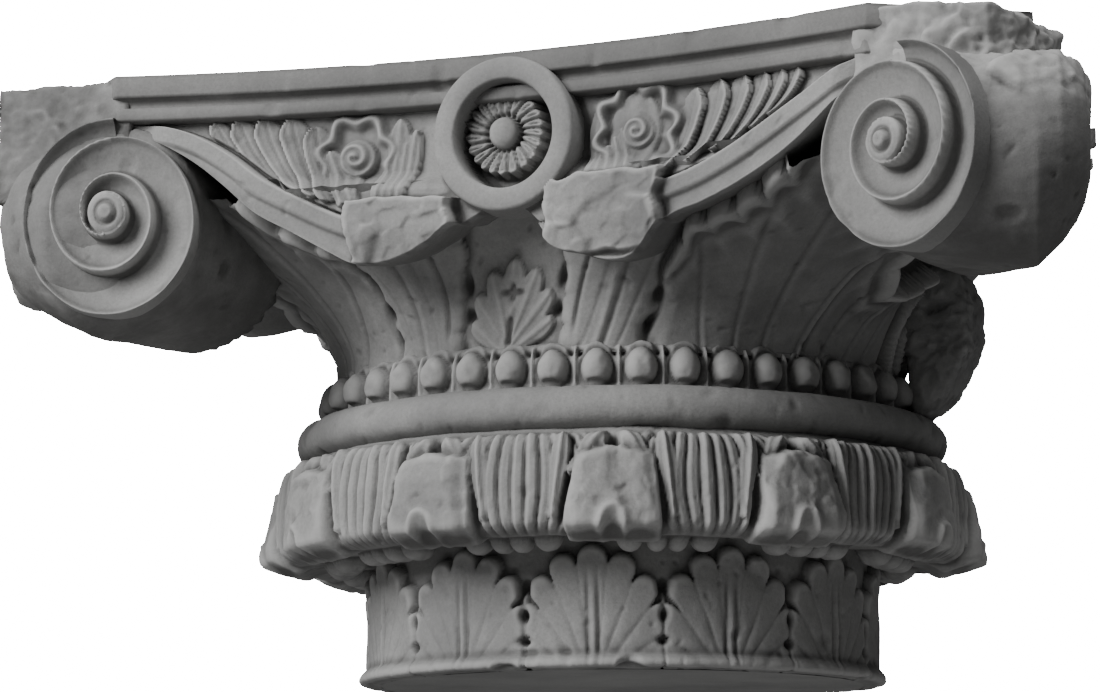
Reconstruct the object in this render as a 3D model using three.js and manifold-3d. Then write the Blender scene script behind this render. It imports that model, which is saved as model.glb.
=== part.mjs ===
// A composite capital carved from one block of marble: a leaf-clad neck, a ring of gathered folds
// with broken bosses, a plain torus, a band of eggs, a leafy bell, and a concave-sided abacus
// carried on corner volutes. The stone is cut off flat behind, where it met a wall.
// Millimetres, Z up, the front face towards -Y.
// The origin is the centre of the flat underside, on the axis of the shaft below.

import * as THREE from 'three';
import { ConvexGeometry } from 'three/addons/geometries/ConvexGeometry.js';
import { mergeVertices } from 'three/addons/utils/BufferGeometryUtils.js';
import Module from 'manifold-3d';

const wasm = await Module();
wasm.setup();

// Flat back of the stone, behind the shaft's axis
const backDistance = 150;

// Shaft neck and its twelve upright leaves
const sectors = 12;
const neckRadius = 238;
const bedRadius = 228;
const bedRounding = 16;
const leafHeight = 112;
const leafWidth = 126;
const leafRelief = 13;
const leafTurn = 15;

// Ring of folds, with a boss in every sector
const ringBottom = 118;
const ringHeight = 92;
const ringRadius = 322;
const foldDepth = 7;
const bossTurn = 19;
const bossWidth = 76;
const bossStandout = 20;
const hangingTipRadius = 262;
const hangingTipDrop = 20;

// Torus and egg band
const torusHeight = 40;
const torusRadius = 316;
const eggBandHeight = 40;
const eggBandRadius = 281;
const eggCount = 44;
const eggStandout = 15;

// Bell
const bellRadius = 262;
const bellFlare = 48;
const bellCornerFlare = 190;
const bellHeight = 150;

// Abacus and the four faces; the top stands a little to one side of the shaft's axis
const topShift = 31;
const abacusTop = 545;
const fasciaHeight = 20;
const grooveHeight = 9;
const grooveDepth = 10;
const filletHeight = 13;
const filletInset = 3;
const cornerBevel = 66;
const rightCornerBreak = 547;
const leftCornerBreak = 519;
const frontFaceOut = 357;
const frontFaceRise = 53;
const sideFaceOut = 375;
const sideFaceRise = 110;

// Volutes: how far each stands from its face's middle, its height, half sizes and turn
const leftVolute = { reach: 371, height: 412, halfWidth: 79, halfHeight: 92, tilt: 0.286 };
const rightVolute = { reach: 384, height: 417, halfWidth: 76, halfHeight: 89, tilt: 0.36 };
const sideVolute = { reach: 335, height: 412, halfWidth: 79, halfHeight: 91, tilt: 0.286 };
const brokenNose = 45;
const scrollBreak = 480;
const spiralTurns = 2.4;
const spiralEyeRadius = 16;
const spiralLip = 7;
const spiralRise = 15;
const hornDepth = 198;
const rightHeelRadius = 76;
const leftHeelRadius = 92;

// Bands, panels and medallions
const panelInset = 22;
const bandFilletWidth = 18;
const bandChannelWidth = 30;
const bandChannelDepth = 8;
const bandStandout = 3;
const medallionHeight = 469;
const medallionRadius = 69;
const medallionHole = 50;
const medallionStandout = 8;
const rosettePetals = 8;
const rosetteRadius = 46;
const featherCount = 5;
const featherSpacing = 21;

// Heights that follow
const ringTop = ringBottom + ringHeight;
const torusTop = ringTop + torusHeight;
const eggBandTop = torusTop + eggBandHeight;
const bellTop = eggBandTop + bellHeight;
const abacusBottom = abacusTop - fasciaHeight - grooveHeight - filletHeight;
const roundSegments = 36;

const front = { turn: 0, out: frontFaceOut, rise: frontFaceRise, reach: 376, volutes: [leftVolute, rightVolute] };
const right = { turn: 90, out: sideFaceOut, rise: sideFaceRise, reach: 335, volutes: [sideVolute, sideVolute] };
const back = { ...front, turn: 180 };
const left = { ...right, turn: 270 };
const carvedFaces = [front, right, left];

const { degToRad } = THREE.MathUtils;

// A closed geometry as a solid, its faces turned outwards
function solid(geometry) {
  geometry.deleteAttribute('normal');
  geometry.deleteAttribute('uv');
  const merged = mergeVertices(geometry, 1e-3);
  const place = merged.attributes.position;
  const triangles = [];
  let volume = 0;
  const a = new THREE.Vector3();
  const b = new THREE.Vector3();
  const c = new THREE.Vector3();
  for (let i = 0; i < merged.index.count; i += 3) {
    const corner = [0, 1, 2].map((k) => merged.index.getX(i + k));
    if (new Set(corner).size < 3) continue;
    triangles.push(corner);
    [a, b, c].forEach((point, k) => point.fromBufferAttribute(place, corner[k]));
    volume += a.dot(b.cross(c)) / 6;
  }
  if (volume < 0) triangles.forEach((corner) => corner.reverse());
  return new wasm.Manifold(new wasm.Mesh({
    numProp: 3,
    vertProperties: new Float32Array(place.array),
    triVerts: new Uint32Array(triangles.flat()),
  }));
}

// Moves every vertex of a geometry by a function of its place
function shaped(geometry, move) {
  const place = geometry.attributes.position;
  const point = new THREE.Vector3();
  for (let i = 0; i < place.count; i += 1) {
    point.fromBufferAttribute(place, i);
    const moved = move(point);
    place.setXYZ(i, moved.x, moved.y, moved.z);
  }
  return geometry;
}

// A round body about the Z axis from a profile of [radius, height] points
function turned(profile, segments = roundSegments) {
  const points = profile.map(([radius, height]) => new THREE.Vector2(radius, height));
  return new THREE.LatheGeometry(points, segments).rotateX(Math.PI / 2);
}

function hull(points) {
  return solid(new ConvexGeometry(points));
}

function extruded(outline, depth) {
  const shape = new THREE.Shape(outline.map(([x, y]) => new THREE.Vector2(x, y)));
  return new THREE.ExtrudeGeometry(shape, { depth, bevelEnabled: false, curveSegments: 1 });
}

// A point at an angle from the front, counted towards +X
function around(angle, radius, height) {
  const a = degToRad(angle);
  return new THREE.Vector3(radius * Math.sin(a), -radius * Math.cos(a), height);
}

// The concave side of the abacus: how far out it stands at a distance s along the face
function faceOut(face, s) {
  return face.out + face.rise * (s / face.reach) ** 2;
}

// A point given along a face, outwards and up
function faceSpot(face, s, out, z) {
  const a = degToRad(face.turn);
  const x = s * Math.cos(a) + out * Math.sin(a) + topShift;
  const y = s * Math.sin(a) - out * Math.cos(a);
  return new THREE.Vector3(x, y, z);
}

function onFace(face, s, proud, z) {
  return faceSpot(face, s, faceOut(face, s) + proud, z);
}

// The flat disc of a volute; side is +1 or -1, and a and b go from -1 to 1 across the disc
function onVolute(face, side, a, b, proud = 0) {
  const volute = face.volutes[side < 0 ? 0 : 1];
  const across = a * volute.halfWidth;
  const out = faceOut(face, volute.reach) + volute.tilt * across + proud;
  return faceSpot(face, side * (volute.reach + across), out, volute.height + b * volute.halfHeight);
}

// The round neck above the bed
function neck() {
  return solid(turned([
    [0, 0],
    [bedRadius, 0],
    [neckRadius + 3, bedRounding * 0.5],
    [neckRadius, bedRounding],
    [neckRadius, ringBottom + 8],
    [0, ringBottom + 8],
  ]));
}

// The plain round moulding between the folds and the eggs
function torus() {
  const bulge = torusHeight * 0.5;
  const profile = [[0, ringTop]];
  for (let i = 0; i <= 4; i += 1) {
    const a = degToRad(-72 + 36 * i);
    profile.push([torusRadius - bulge * (1 - Math.cos(a)), ringTop + bulge * (1 + Math.sin(a))]);
  }
  profile.push([0, torusTop]);
  return solid(turned(profile));
}

// Upright leaf of the neck: a fan of rounded lobes, widest above its middle
function leafOutline() {
  const lobes = [
    [-0.36, 0.16, 0.12, 195], [-0.39, 0.48, 0.14, 170], [-0.25, 0.76, 0.15, 135],
    [0, 0.87, 0.15, 90],
    [0.25, 0.76, 0.15, 45], [0.39, 0.48, 0.14, 10], [0.36, 0.16, 0.12, -15],
  ];
  const outline = [];
  lobes.forEach(([x, y, size, facing]) => {
    [44, -44].forEach((offset) => {
      const a = degToRad(facing + offset);
      outline.push([(x + size * Math.cos(a) * 0.8) * leafWidth, (y + size * Math.sin(a)) * leafHeight]);
    });
  });
  return outline.reverse();
}

function neckLeaves() {
  const base = bedRounding * 0.3;
  const relief = leafRelief + 4;
  return Array.from({ length: sectors }, (_, k) => {
    const turn = leafTurn + (360 / sectors) * k;
    const leaf = extruded(leafOutline(), relief);
    shaped(leaf, ({ x, y, z }) => {
      const lift = z > 0 ? 0.7 + 0.3 * (y / leafHeight) : 0;
      const radius = neckRadius - 4 + relief * lift;
      return around(turn + THREE.MathUtils.radToDeg(x / neckRadius), radius, base + Math.max(y, 0));
    });
    return solid(leaf);
  });
}

// Lobed leaf tips that hang between the ring and the neck
function hangingTips() {
  const lobes = [[-30, 0.5], [0, 0.9], [30, 0.5]];
  return Array.from({ length: sectors }, (_, k) => {
    const turn = (360 / sectors) * k;
    const outline = [[-44, 12], [44, 12]];
    [...lobes].reverse().forEach(([x, size]) => {
      [-30, -150].forEach((angle) => {
        const a = degToRad(angle);
        outline.push([x + 14 * Math.cos(a), size * hangingTipDrop * Math.sin(a)]);
      });
    });
    const root = neckRadius - 8;
    const tip = extruded(outline, 1);
    shaped(tip, ({ x, y, z }) => around(
      turn + THREE.MathUtils.radToDeg(x / hangingTipRadius),
      THREE.MathUtils.lerp(root, hangingTipRadius, z),
      ringBottom - hangingTipDrop * 0.2 + y,
    ));
    return solid(tip);
  });
}

// The ring: three gathered folds between one boss and the next
function foldedRing() {
  const perSector = 6;
  const profile = [
    [0, ringBottom],
    [ringRadius - 20, ringBottom],
    [ringRadius - 2, ringBottom + 14],
    [ringRadius - 1, ringBottom + ringHeight * 0.62],
    [ringRadius - 15, ringTop + 2],
    [0, ringTop + 2],
  ];
  const ring = turned(profile, sectors * perSector);
  shaped(ring, (point) => {
    const radius = Math.hypot(point.x, point.y);
    const angle = THREE.MathUtils.radToDeg(Math.atan2(point.x, -point.y)) - bossTurn;
    const column = Math.round((angle / 360) * sectors * perSector);
    const inSector = ((column % perSector) + perSector) % perSector;
    const inFolds = inSector >= 2 && inSector <= 4;
    const onSkin = radius > hangingTipRadius;
    const fold = onSkin && inFolds && inSector % 2 === 0 ? -foldDepth : 0;
    return around((column * 360) / (sectors * perSector) + bossTurn, radius + fold, point.z);
  });
  return solid(ring);
}

// A broken block, wider at its foot, its face chipped differently for each k
function brokenBlock(place, width, height, depth, k) {
  const chip = (n) => 0.5 + 0.5 * Math.sin(12.9898 * (n + 1) * (k + 1));
  const corners = [];
  [[-0.5, 0], [0.5, 0], [0.54, 0.45], [0.44, 1], [-0.44, 1], [-0.54, 0.45]].forEach(([x, y], n) => {
    corners.push([x * width, y * height, 0]);
    corners.push([x * width * (0.74 + 0.14 * chip(n)), height * (0.06 + 0.88 * y), depth * (0.7 + 0.3 * chip(n + 7))]);
  });
  corners.push([0.1 * width * (chip(3) - 0.5), height * 0.5, depth * (0.95 + 0.12 * chip(9))]);
  return hull(corners.map(([x, y, z]) => place(x, y, z)));
}

function ringBosses() {
  const root = ringRadius - 14;
  return Array.from({ length: sectors }, (_, k) => {
    const turn = bossTurn + (360 / sectors) * k;
    const place = (x, y, z) => around(turn + THREE.MathUtils.radToDeg(x / root), root + z, ringBottom - 6 + y);
    return brokenBlock(place, bossWidth, ringHeight * 0.97, bossStandout + 14, k);
  });
}

// Eggs: a band whose columns swell and sink, one swelling for each egg
function eggBand() {
  const rows = [
    { height: -1, standout: 0.75 * eggStandout },
    { height: eggBandHeight * 0.42, standout: eggStandout },
    { height: eggBandHeight * 0.9, standout: 1 },
  ];
  const profile = rows.map((row) => [eggBandRadius, torusTop + row.height]);
  profile.unshift([0, torusTop - 1]);
  profile.push([bellRadius, eggBandTop + 2], [0, eggBandTop + 2]);
  const band = turned(profile, eggCount * 2);
  shaped(band, (point) => {
    if (Math.hypot(point.x, point.y) < 1) return point.clone();
    const angle = THREE.MathUtils.radToDeg(Math.atan2(point.x, -point.y));
    const column = Math.round((angle / 360) * eggCount * 2);
    const row = rows.find(({ height }) => Math.abs(torusTop + height - point.z) < 0.5);
    const radius = Math.hypot(point.x, point.y);
    const hollow = column % 2 !== 0 && row && row.height < eggBandHeight * 0.8;
    const standout = hollow ? -3 : row?.standout ?? 0;
    return around((column * 360) / (eggCount * 2), radius + standout, point.z);
  });
  return solid(band);
}

// The bell's radius at an angle from the front: upright over the faces, flaring to the corners
function bellOut(angle, z) {
  const rise = THREE.MathUtils.clamp((z - eggBandTop) / bellHeight, 0, 1);
  const corner = Math.abs(Math.sin(degToRad(angle) * 2)) ** 2.2;
  return bellRadius + bellFlare * rise ** 1.4 + (bellCornerFlare - bellFlare) * corner * rise ** 1.9;
}

function bell() {
  const rows = [-6, 40, 85, 120, 150];
  const profile = rows.map((h) => [bellRadius, eggBandTop + h]);
  profile.unshift([0, eggBandTop + rows[0]]);
  profile.push([0, eggBandTop + rows.at(-1)]);
  const form = turned(profile);
  shaped(form, (point) => {
    if (Math.hypot(point.x, point.y) < 1) return point.clone();
    const angle = THREE.MathUtils.radToDeg(Math.atan2(point.x, -point.y));
    const lean = topShift * THREE.MathUtils.clamp((point.z - eggBandTop) / bellHeight, 0, 1);
    const spot = around(angle, bellOut(angle, point.z), point.z);
    spot.x += lean;
    return spot;
  });
  return solid(form);
}

// A leaf that lies on the bell: a plate cut to an outline and bent to the bell's surface
function bellLeaf(angle, outline, thickness) {
  const buried = 36;
  const plate = extruded(outline, thickness + buried);
  shaped(plate, ({ x, y, z }) => {
    const height = eggBandTop + y;
    const turn = angle + THREE.MathUtils.radToDeg(x / bellRadius);
    const spot = around(turn, bellOut(turn, height) - buried + z, height);
    spot.x += topShift * THREE.MathUtils.clamp(y / bellHeight, 0, 1);
    return spot;
  });
  return solid(plate);
}

// Broad smooth leaf under each volute, its top cut into blunt lobes
function cornerLeaves() {
  const outline = [
    [-58, 0], [58, 0], [72, 40], [92, 90], [84, 112], [68, 108], [58, 126], [40, 120], [26, 140],
    [-26, 140], [-40, 120], [-58, 126], [-68, 108], [-84, 112], [-92, 90], [-72, 40],
  ];
  return [45, 315].map((angle) => bellLeaf(angle, outline, 12));
}

// Each face has a low lobed leaf between two taller leaves whose tips are broken off
function faceLeaves() {
  const low = [
    [-30, 0], [30, 0], [40, 20], [30, 42], [22, 62], [8, 58], [0, 74], [-8, 58], [-22, 62], [-30, 42],
    [-40, 20],
  ];
  const tall = [
    [-30, 0], [26, 0], [34, 30], [28, 56], [42, 74], [26, 104], [-26, 104], [-46, 80], [-30, 50],
  ];
  const mirrored = tall.map(([x, y]) => [-x, y]).reverse();
  const solids = [];
  carvedFaces.forEach((face, k) => {
    solids.push(bellLeaf(face.turn, low, 9));
    solids.push(bellLeaf(face.turn - 19, tall, 13));
    solids.push(bellLeaf(face.turn + 19, mirrored, 13));
    [[-107, 372, 96, 52], [94, 356, 108, 70]].forEach(([s, z, width, height], n) => {
      const place = (x, y, out) => onFace(face, s + x, out - 44, z + y);
      solids.push(brokenBlock(place, width, height, 46 + 6 * n, 3 * k + n));
    });
  });
  return solids;
}

// On the right side one leaf tip still hangs down over the eggs
function hangingLeafTip() {
  const root = bellRadius - topShift - 12;
  const place = (x, y, out) => faceSpot(right, 30 + x, root + out, torusTop - 12 + y);
  return brokenBlock(place, 84, bellHeight - 4, topShift + 76, 5);
}

// Plan of the abacus, set in by a margin, its corners cut off
function abacusPlan(inset) {
  const plan = [];
  const steps = 6;
  [front, right, back, left].forEach((face) => {
    const end = face.reach + cornerBevel;
    for (let i = 0; i <= steps; i += 1) {
      const s = -end + (2 * end * i) / steps;
      const spot = onFace(face, s * (1 - inset / 700), -inset, 0);
      plan.push([spot.x, spot.y]);
    }
  });
  return plan;
}

function layer(inset, bottom, height) {
  return solid(extruded(abacusPlan(inset), height).translate(0, 0, bottom));
}

function abacus() {
  const fasciaBottom = abacusTop - fasciaHeight;
  return [
    layer(0, fasciaBottom, fasciaHeight),
    layer(grooveDepth, fasciaBottom - grooveHeight - 2, grooveHeight + 4),
    layer(filletInset, abacusBottom, filletHeight),
  ];
}

// Height of a band's upper edge: it drops from the volute in a long curve towards the centre
function bandHeight(face, s) {
  const t = THREE.MathUtils.clamp((Math.abs(s) / face.reach - 0.3) / 0.66, 0, 1);
  const low = medallionHeight - medallionRadius + 4;
  return low + (abacusBottom - low) * THREE.MathUtils.lerp(t, t * t * (3 - 2 * t), 0.8);
}

// The block behind a face's panels, cut below along the bands
function core(face) {
  const steps = 8;
  const depth = 150;
  const end = face.reach + 12;
  const section = [[0, -depth], [0, -panelInset], [1, -panelInset], [1, -depth]];
  const shape = new THREE.Shape(section.map(([x, y]) => new THREE.Vector2(x, y)));
  const block = new THREE.ExtrudeGeometry(shape, { depth: steps, steps, bevelEnabled: false });
  shaped(block, ({ x, y, z }) => {
    const s = THREE.MathUtils.lerp(-end, end, z / steps);
    const low = bandHeight(face, s) - bandFilletWidth - bandChannelWidth + 4;
    return onFace(face, s, y, THREE.MathUtils.lerp(low, abacusBottom + 2, x));
  });
  return solid(block);
}

// The plain stone inside the panels
function heartBlock() {
  const bottom = bellTop - 36;
  const top = abacusBottom + 4;
  const width = 2 * (sideFaceOut - panelInset - 12);
  const depth = 2 * (frontFaceOut - panelInset - 12);
  return solid(new THREE.BoxGeometry(width, depth, top - bottom).translate(topShift, 0, (bottom + top) / 2));
}

// A band: a raised fillet above and a sunk channel below, along the curve
function band(face, side) {
  const steps = 4;
  const start = face.reach * 0.3;
  const end = face.reach * 0.98;
  const depth = 44;
  const section = [
    [0, -depth], [0, bandStandout], [bandFilletWidth, bandStandout], [bandFilletWidth + 3, -bandChannelDepth],
    [bandFilletWidth + bandChannelWidth, -bandChannelDepth + 4], [bandFilletWidth + bandChannelWidth, -depth],
  ];
  const shape = new THREE.Shape(section.map(([x, y]) => new THREE.Vector2(x, y)));
  const strip = new THREE.ExtrudeGeometry(shape, { depth: steps, steps, bevelEnabled: false });
  shaped(strip, ({ x, y, z }) => {
    const s = start + ((end - start) * z) / steps;
    const slope = (bandHeight(face, s + 1) - bandHeight(face, s - 1)) / 2;
    const length = Math.hypot(1, slope);
    return onFace(face, side * (s + (x * slope) / length), y, bandHeight(face, s) - x / length);
  });
  return solid(strip);
}

// Rim of a volute's disc, shrunk by a scale and moved outwards
function discRim(face, side, scale = 1, proud = 0) {
  return Array.from({ length: 16 }, (_, i) => {
    const a = (2 * Math.PI * i) / 16;
    return onVolute(face, side, scale * Math.cos(a), scale * Math.sin(a), proud);
  });
}

// The round heel of a front scroll, deep behind its disc
function heelRim(side, radius) {
  const volute = front.volutes[side < 0 ? 0 : 1];
  const out = faceOut(front, volute.reach) - hornDepth;
  return Array.from({ length: 12 }, (_, i) => {
    const a = (2 * Math.PI * i) / 12;
    const s = volute.reach + 10 + radius * Math.cos(a);
    return faceSpot(front, side * s, out, volute.height - 4 + radius * Math.sin(a));
  });
}

// The scroll of the left corner, from the disc on the front to the disc on the side
function leftHorn() {
  return hull([...discRim(front, -1), ...heelRim(-1, leftHeelRadius), ...discRim(left, 1)]);
}

// The right scroll has lost its side disc and ends in a rough nose
function rightHorn() {
  const nose = discRim(right, -1, 0.7, brokenNose);
  return hull([...discRim(front, 1), ...heelRim(1, rightHeelRadius), ...discRim(right, -1), ...nose]);
}

// The line of a spiral from the disc's edge to its eye, rising as it winds in
class Spiral extends THREE.Curve {
  constructor(face, side) {
    super();
    this.face = face;
    this.side = side;
  }

  getPoint(t) {
    const turn = 2 * Math.PI * spiralTurns * t;
    const eye = spiralEyeRadius / leftVolute.halfWidth;
    const shrink = THREE.MathUtils.lerp(0.96, eye, Math.max(0, (t - 0.22) / 0.78) ** 0.85);
    return onVolute(this.face, this.side, shrink * Math.sin(turn), shrink * Math.cos(turn), spiralRise * t - 4);
  }
}

function spiralRidge(face, side) {
  const lip = new THREE.Shape([0, 120, 240].map((turn) => {
    const a = degToRad(turn);
    return new THREE.Vector2(spiralLip * 1.3 * Math.cos(a), spiralLip * 1.3 * Math.sin(a));
  }));
  return solid(new THREE.ExtrudeGeometry(lip, {
    steps: Math.round(spiralTurns * 9),
    bevelEnabled: false,
    extrudePath: new Spiral(face, side),
  }));
}

// A low cone that lifts the inner turns, with the round eye on it
function spiralHeart(face, side) {
  const eye = spiralEyeRadius / leftVolute.halfWidth;
  const profile = [
    [0, -6], [0.76, -6], [0.7, 4], [0.42, spiralRise * 0.6], [eye * 1.3, spiralRise - 2],
    [eye, spiralRise + 8], [0, spiralRise + 12],
  ];
  const heart = turned(profile, 9);
  shaped(heart, ({ x, y, z }) => onVolute(face, side, x, y, z));
  return solid(heart);
}

function faceRound(face, profile, segments) {
  const form = turned(profile, segments);
  shaped(form, ({ x, y, z }) => faceSpot(face, x, face.out + z, medallionHeight + y));
  return solid(form);
}

function medallionHollow(face) {
  return faceRound(face, [[0, -panelInset - 2], [medallionHole, -panelInset - 2], [medallionHole, 20], [0, 20]], 16);
}

function medallionRing(face) {
  const floor = -panelInset - 10;
  return faceRound(face, [
    [medallionHole, floor], [medallionRadius, floor], [medallionRadius - 1, medallionStandout],
    [medallionHole + 1, medallionStandout], [medallionHole, floor],
  ], 16);
}

// A ring of petals round a button
function rosette(face) {
  const floor = -panelInset - 6;
  const flower = turned([
    [0, floor - 2], [rosetteRadius, floor - 2], [rosetteRadius * 0.9, floor + 8],
    [rosetteRadius * 0.34, floor + 13], [rosetteRadius * 0.26, floor + 20], [0, floor + 22],
  ], rosettePetals * 2);
  shaped(flower, ({ x, y, z }) => {
    const radius = Math.hypot(x, y);
    const column = Math.round((Math.atan2(y, x) / Math.PI) * rosettePetals);
    const onPetals = radius > rosetteRadius * 0.4;
    const sink = onPetals && column % 2 !== 0 && z > floor ? 5 : 0;
    const pull = onPetals && column % 2 !== 0 ? 0.9 : 1;
    return faceSpot(face, x * pull, face.out + z - sink, medallionHeight + y * pull);
  });
  return solid(flower);
}

// Feather leaves that rise from the band and lean towards the volute
function feathers(face, side) {
  return Array.from({ length: featherCount }, (_, k) => {
    const foot = face.reach * 0.4 + featherSpacing * k;
    const footHeight = bandHeight(face, foot) + 2;
    const tip = foot + 26;
    const tipHeight = abacusBottom - 2;
    const middle = (foot + tip) / 2 - 4;
    const middleHeight = (footHeight + tipHeight) / 2;
    const place = (s, proud, z) => onFace(face, side * s, proud - panelInset, z);
    return hull([
      place(foot, -8, footHeight), place(middle - 10, -8, middleHeight + 4), place(middle + 11, -8, middleHeight - 4),
      place(tip, -8, tipHeight), place(tip - 6, 14, tipHeight - 12), place(middle, 12, middleHeight),
    ]);
  });
}

// A bud in its cup between the feathers and the medallion
function bud(face, side) {
  const cup = turned([[0, -4], [30, -4], [27, 9], [13, 5], [0, 17]], 7);
  const s = face.reach * 0.36;
  shaped(cup, ({ x, y, z }) => onFace(face, side * (s + x * 0.9), z - panelInset, medallionHeight - 6 + y));
  return solid(cup);
}

// The rough stumps of the broken front corners, above the scrolls
function cornerStumps() {
  const low = abacusBottom - 70;
  const stump = (outline) => hull(outline.flatMap(([x, y, dip]) => [
    new THREE.Vector3(x, y, abacusTop - dip), new THREE.Vector3(x, y, low),
  ]));
  return [
    stump([[-330, -394, 1], [-400, -408, 3], [-474, -418, 5], [-482, -400, 6], [-480, -300, 4], [-350, -250, 2]]),
    stump([
      [370, -392, 1], [440, -408, 4], [510, -396, 10], [548, -360, 26], [562, -320, 30], [540, -262, 8],
      [400, -250, 2],
    ]),
  ];
}

// What is lost at a broken corner: the abacus beyond a steep plane
function lostCorner(angle, distance) {
  const size = 400;
  const spot = around(angle, distance + size / 2, abacusTop);
  const block = new THREE.BoxGeometry(size, size, 2 * (abacusTop - abacusBottom) + 20);
  return solid(block.rotateZ(degToRad(angle)).translate(spot.x, spot.y, spot.z));
}

// The left end of the left scroll is broken off along an upright plane
function lostScrollEnd() {
  const size = 400;
  return solid(new THREE.BoxGeometry(size, 2 * size, size).translate(-scrollBreak - size / 2, -size, leftVolute.height));
}

// Everything behind the flat back
function lostBack() {
  const size = 2000;
  return solid(new THREE.BoxGeometry(size, size, size).translate(0, backDistance + size / 2, 0));
}

function joined(solids) {
  return solids.reduce((whole, next) => whole.add(next));
}

// The top block: abacus with its broken corners, then the scrolls and their carving
function topBlock() {
  let slab = joined(abacus());
  slab = slab.subtract(lostCorner(53, rightCornerBreak)).subtract(lostCorner(-53, leftCornerBreak));
  const parts = [slab, heartBlock(), ...cornerStumps(), leftHorn(), rightHorn()];
  carvedFaces.forEach((face) => {
    parts.push(core(face));
    [-1, 1].forEach((side) => {
      parts.push(band(face, side), ...feathers(face, side), bud(face, side));
    });
  });
  [[front, -1], [front, 1], [left, 1]].forEach(([face, side]) => {
    parts.push(spiralRidge(face, side), spiralHeart(face, side));
  });
  let block = joined(parts).subtract(lostScrollEnd());
  carvedFaces.forEach((face) => {
    block = block.subtract(medallionHollow(face)).add(medallionRing(face)).add(rosette(face));
  });
  return block;
}

const lower = joined([neck(), ...neckLeaves(), ...hangingTips(), foldedRing(), ...ringBosses(), torus(), eggBand()]);
const middle = joined([bell(), ...cornerLeaves(), ...faceLeaves(), hangingLeafTip()]);
const stone = joined([lower, middle, topBlock()]).subtract(lostBack());

function toGeometry(manifold) {
  const mesh = manifold.getMesh();
  const geometry = new THREE.BufferGeometry();
  geometry.setAttribute('position', new THREE.BufferAttribute(mesh.vertProperties, 3));
  geometry.setIndex(new THREE.BufferAttribute(mesh.triVerts, 1));
  geometry.computeVertexNormals();
  return geometry;
}

const marble = new THREE.MeshStandardMaterial({ color: 0x9a9a98, roughness: 0.75, metalness: 0 });
const capital = new THREE.Mesh(toGeometry(stone), marble);
capital.name = 'capital';

const group = new THREE.Group();
group.add(capital);

export default group;
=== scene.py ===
"""A weathered marble capital of the composite order, carved as meshes over its solid.

The lower bands are skins swept round the shaft's axis, each lifted by a height in millimetres.
The top is a skin along each concave face, polar skins on the volutes and worn blocks behind them.
"""

from math import cos, pi, radians, sin

import bmesh
import bpy
import numpy as np
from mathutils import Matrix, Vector


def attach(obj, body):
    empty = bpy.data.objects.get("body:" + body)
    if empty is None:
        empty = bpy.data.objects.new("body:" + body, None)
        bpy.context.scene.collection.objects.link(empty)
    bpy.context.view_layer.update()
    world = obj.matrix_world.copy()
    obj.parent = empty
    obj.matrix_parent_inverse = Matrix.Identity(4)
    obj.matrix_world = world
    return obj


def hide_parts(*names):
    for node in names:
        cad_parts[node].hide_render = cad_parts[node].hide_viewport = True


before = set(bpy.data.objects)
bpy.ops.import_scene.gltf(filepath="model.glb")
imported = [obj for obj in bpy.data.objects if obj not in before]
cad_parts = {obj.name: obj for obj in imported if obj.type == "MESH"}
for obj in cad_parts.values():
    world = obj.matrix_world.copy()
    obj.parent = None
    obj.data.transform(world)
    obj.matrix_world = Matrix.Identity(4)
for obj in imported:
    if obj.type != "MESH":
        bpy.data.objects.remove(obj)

bl_info = {
    "name": "Weathered Composite Capital",
    "version": (1, 0, 0),
    "blender": (4, 5, 0),
    "location": "View3D > Sidebar > Capital",
    "description": "Builds a carved and weathered marble capital with its studio",
    "category": "Add Mesh",
}

# Sizes in millimetres; heights are over the underside and the front faces -Y.
# Each face's turn about the axis, how far out its middle is, how much it hollows and how far it reaches.
FACES = {
    "front": {"turn": 0, "out": 357.0, "rise": 53.0, "reach": 376.0},
    "right": {"turn": 90, "out": 375.0, "rise": 110.0, "reach": 335.0},
    "left": {"turn": 270, "out": 375.0, "rise": 110.0, "reach": 335.0},
}
# Each volute's place along its face, height, half width, half height and turn outward
VOLUTES = {
    ("front", -1): (371.0, 412.0, 79.0, 92.0, 0.286),
    ("front", 1): (384.0, 417.0, 76.0, 89.0, 0.36),
    ("right", -1): (335.0, 412.0, 79.0, 91.0, 0.286),
    ("left", 1): (335.0, 421.0, 65.0, 76.0, 0.286),
}
BACK = 150.0
TOP_SHIFT = 31.0
TOP = 545.0
FASCIA = 524.0
GROOVE = 515.0
SOFFIT = 503.0
MEDALLION = 469.0
LOST_EDGE = 432.0
BELL_FOOT = 290.0
BELL_RISE = 150.0
BELL_RADIUS = 262.0
EGGS = 44
EGG_RADIUS = 295.0
RING_FOOT = 116.0
RING_RISE = 92.0
RING_RADIUS = 322.0
NECK_RADIUS = 250.0
LEAVES = 12
LEAF_STEP = 360 / LEAVES


# Noise and small helpers on arrays

WORD = 0xFFFFFFFF


def lattice(ix, iy, iz, seed):
    """Repeatable values from -1 to 1 at whole-numbered places."""
    h = (ix * 73856093) ^ (iy * 19349663) ^ (iz * 83492791) ^ (seed * 2654435761)
    h = (h ^ (h >> 13)) & WORD
    h = (h * 0x45D9F3B) & WORD
    h = h ^ (h >> 16)
    return (h & 0xFFFFFF) / float(0x7FFFFF) - 1.0


TURN = np.array([[0.36, 0.48, -0.80], [-0.80, 0.60, 0.0], [0.48, 0.64, 0.60]])


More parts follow.
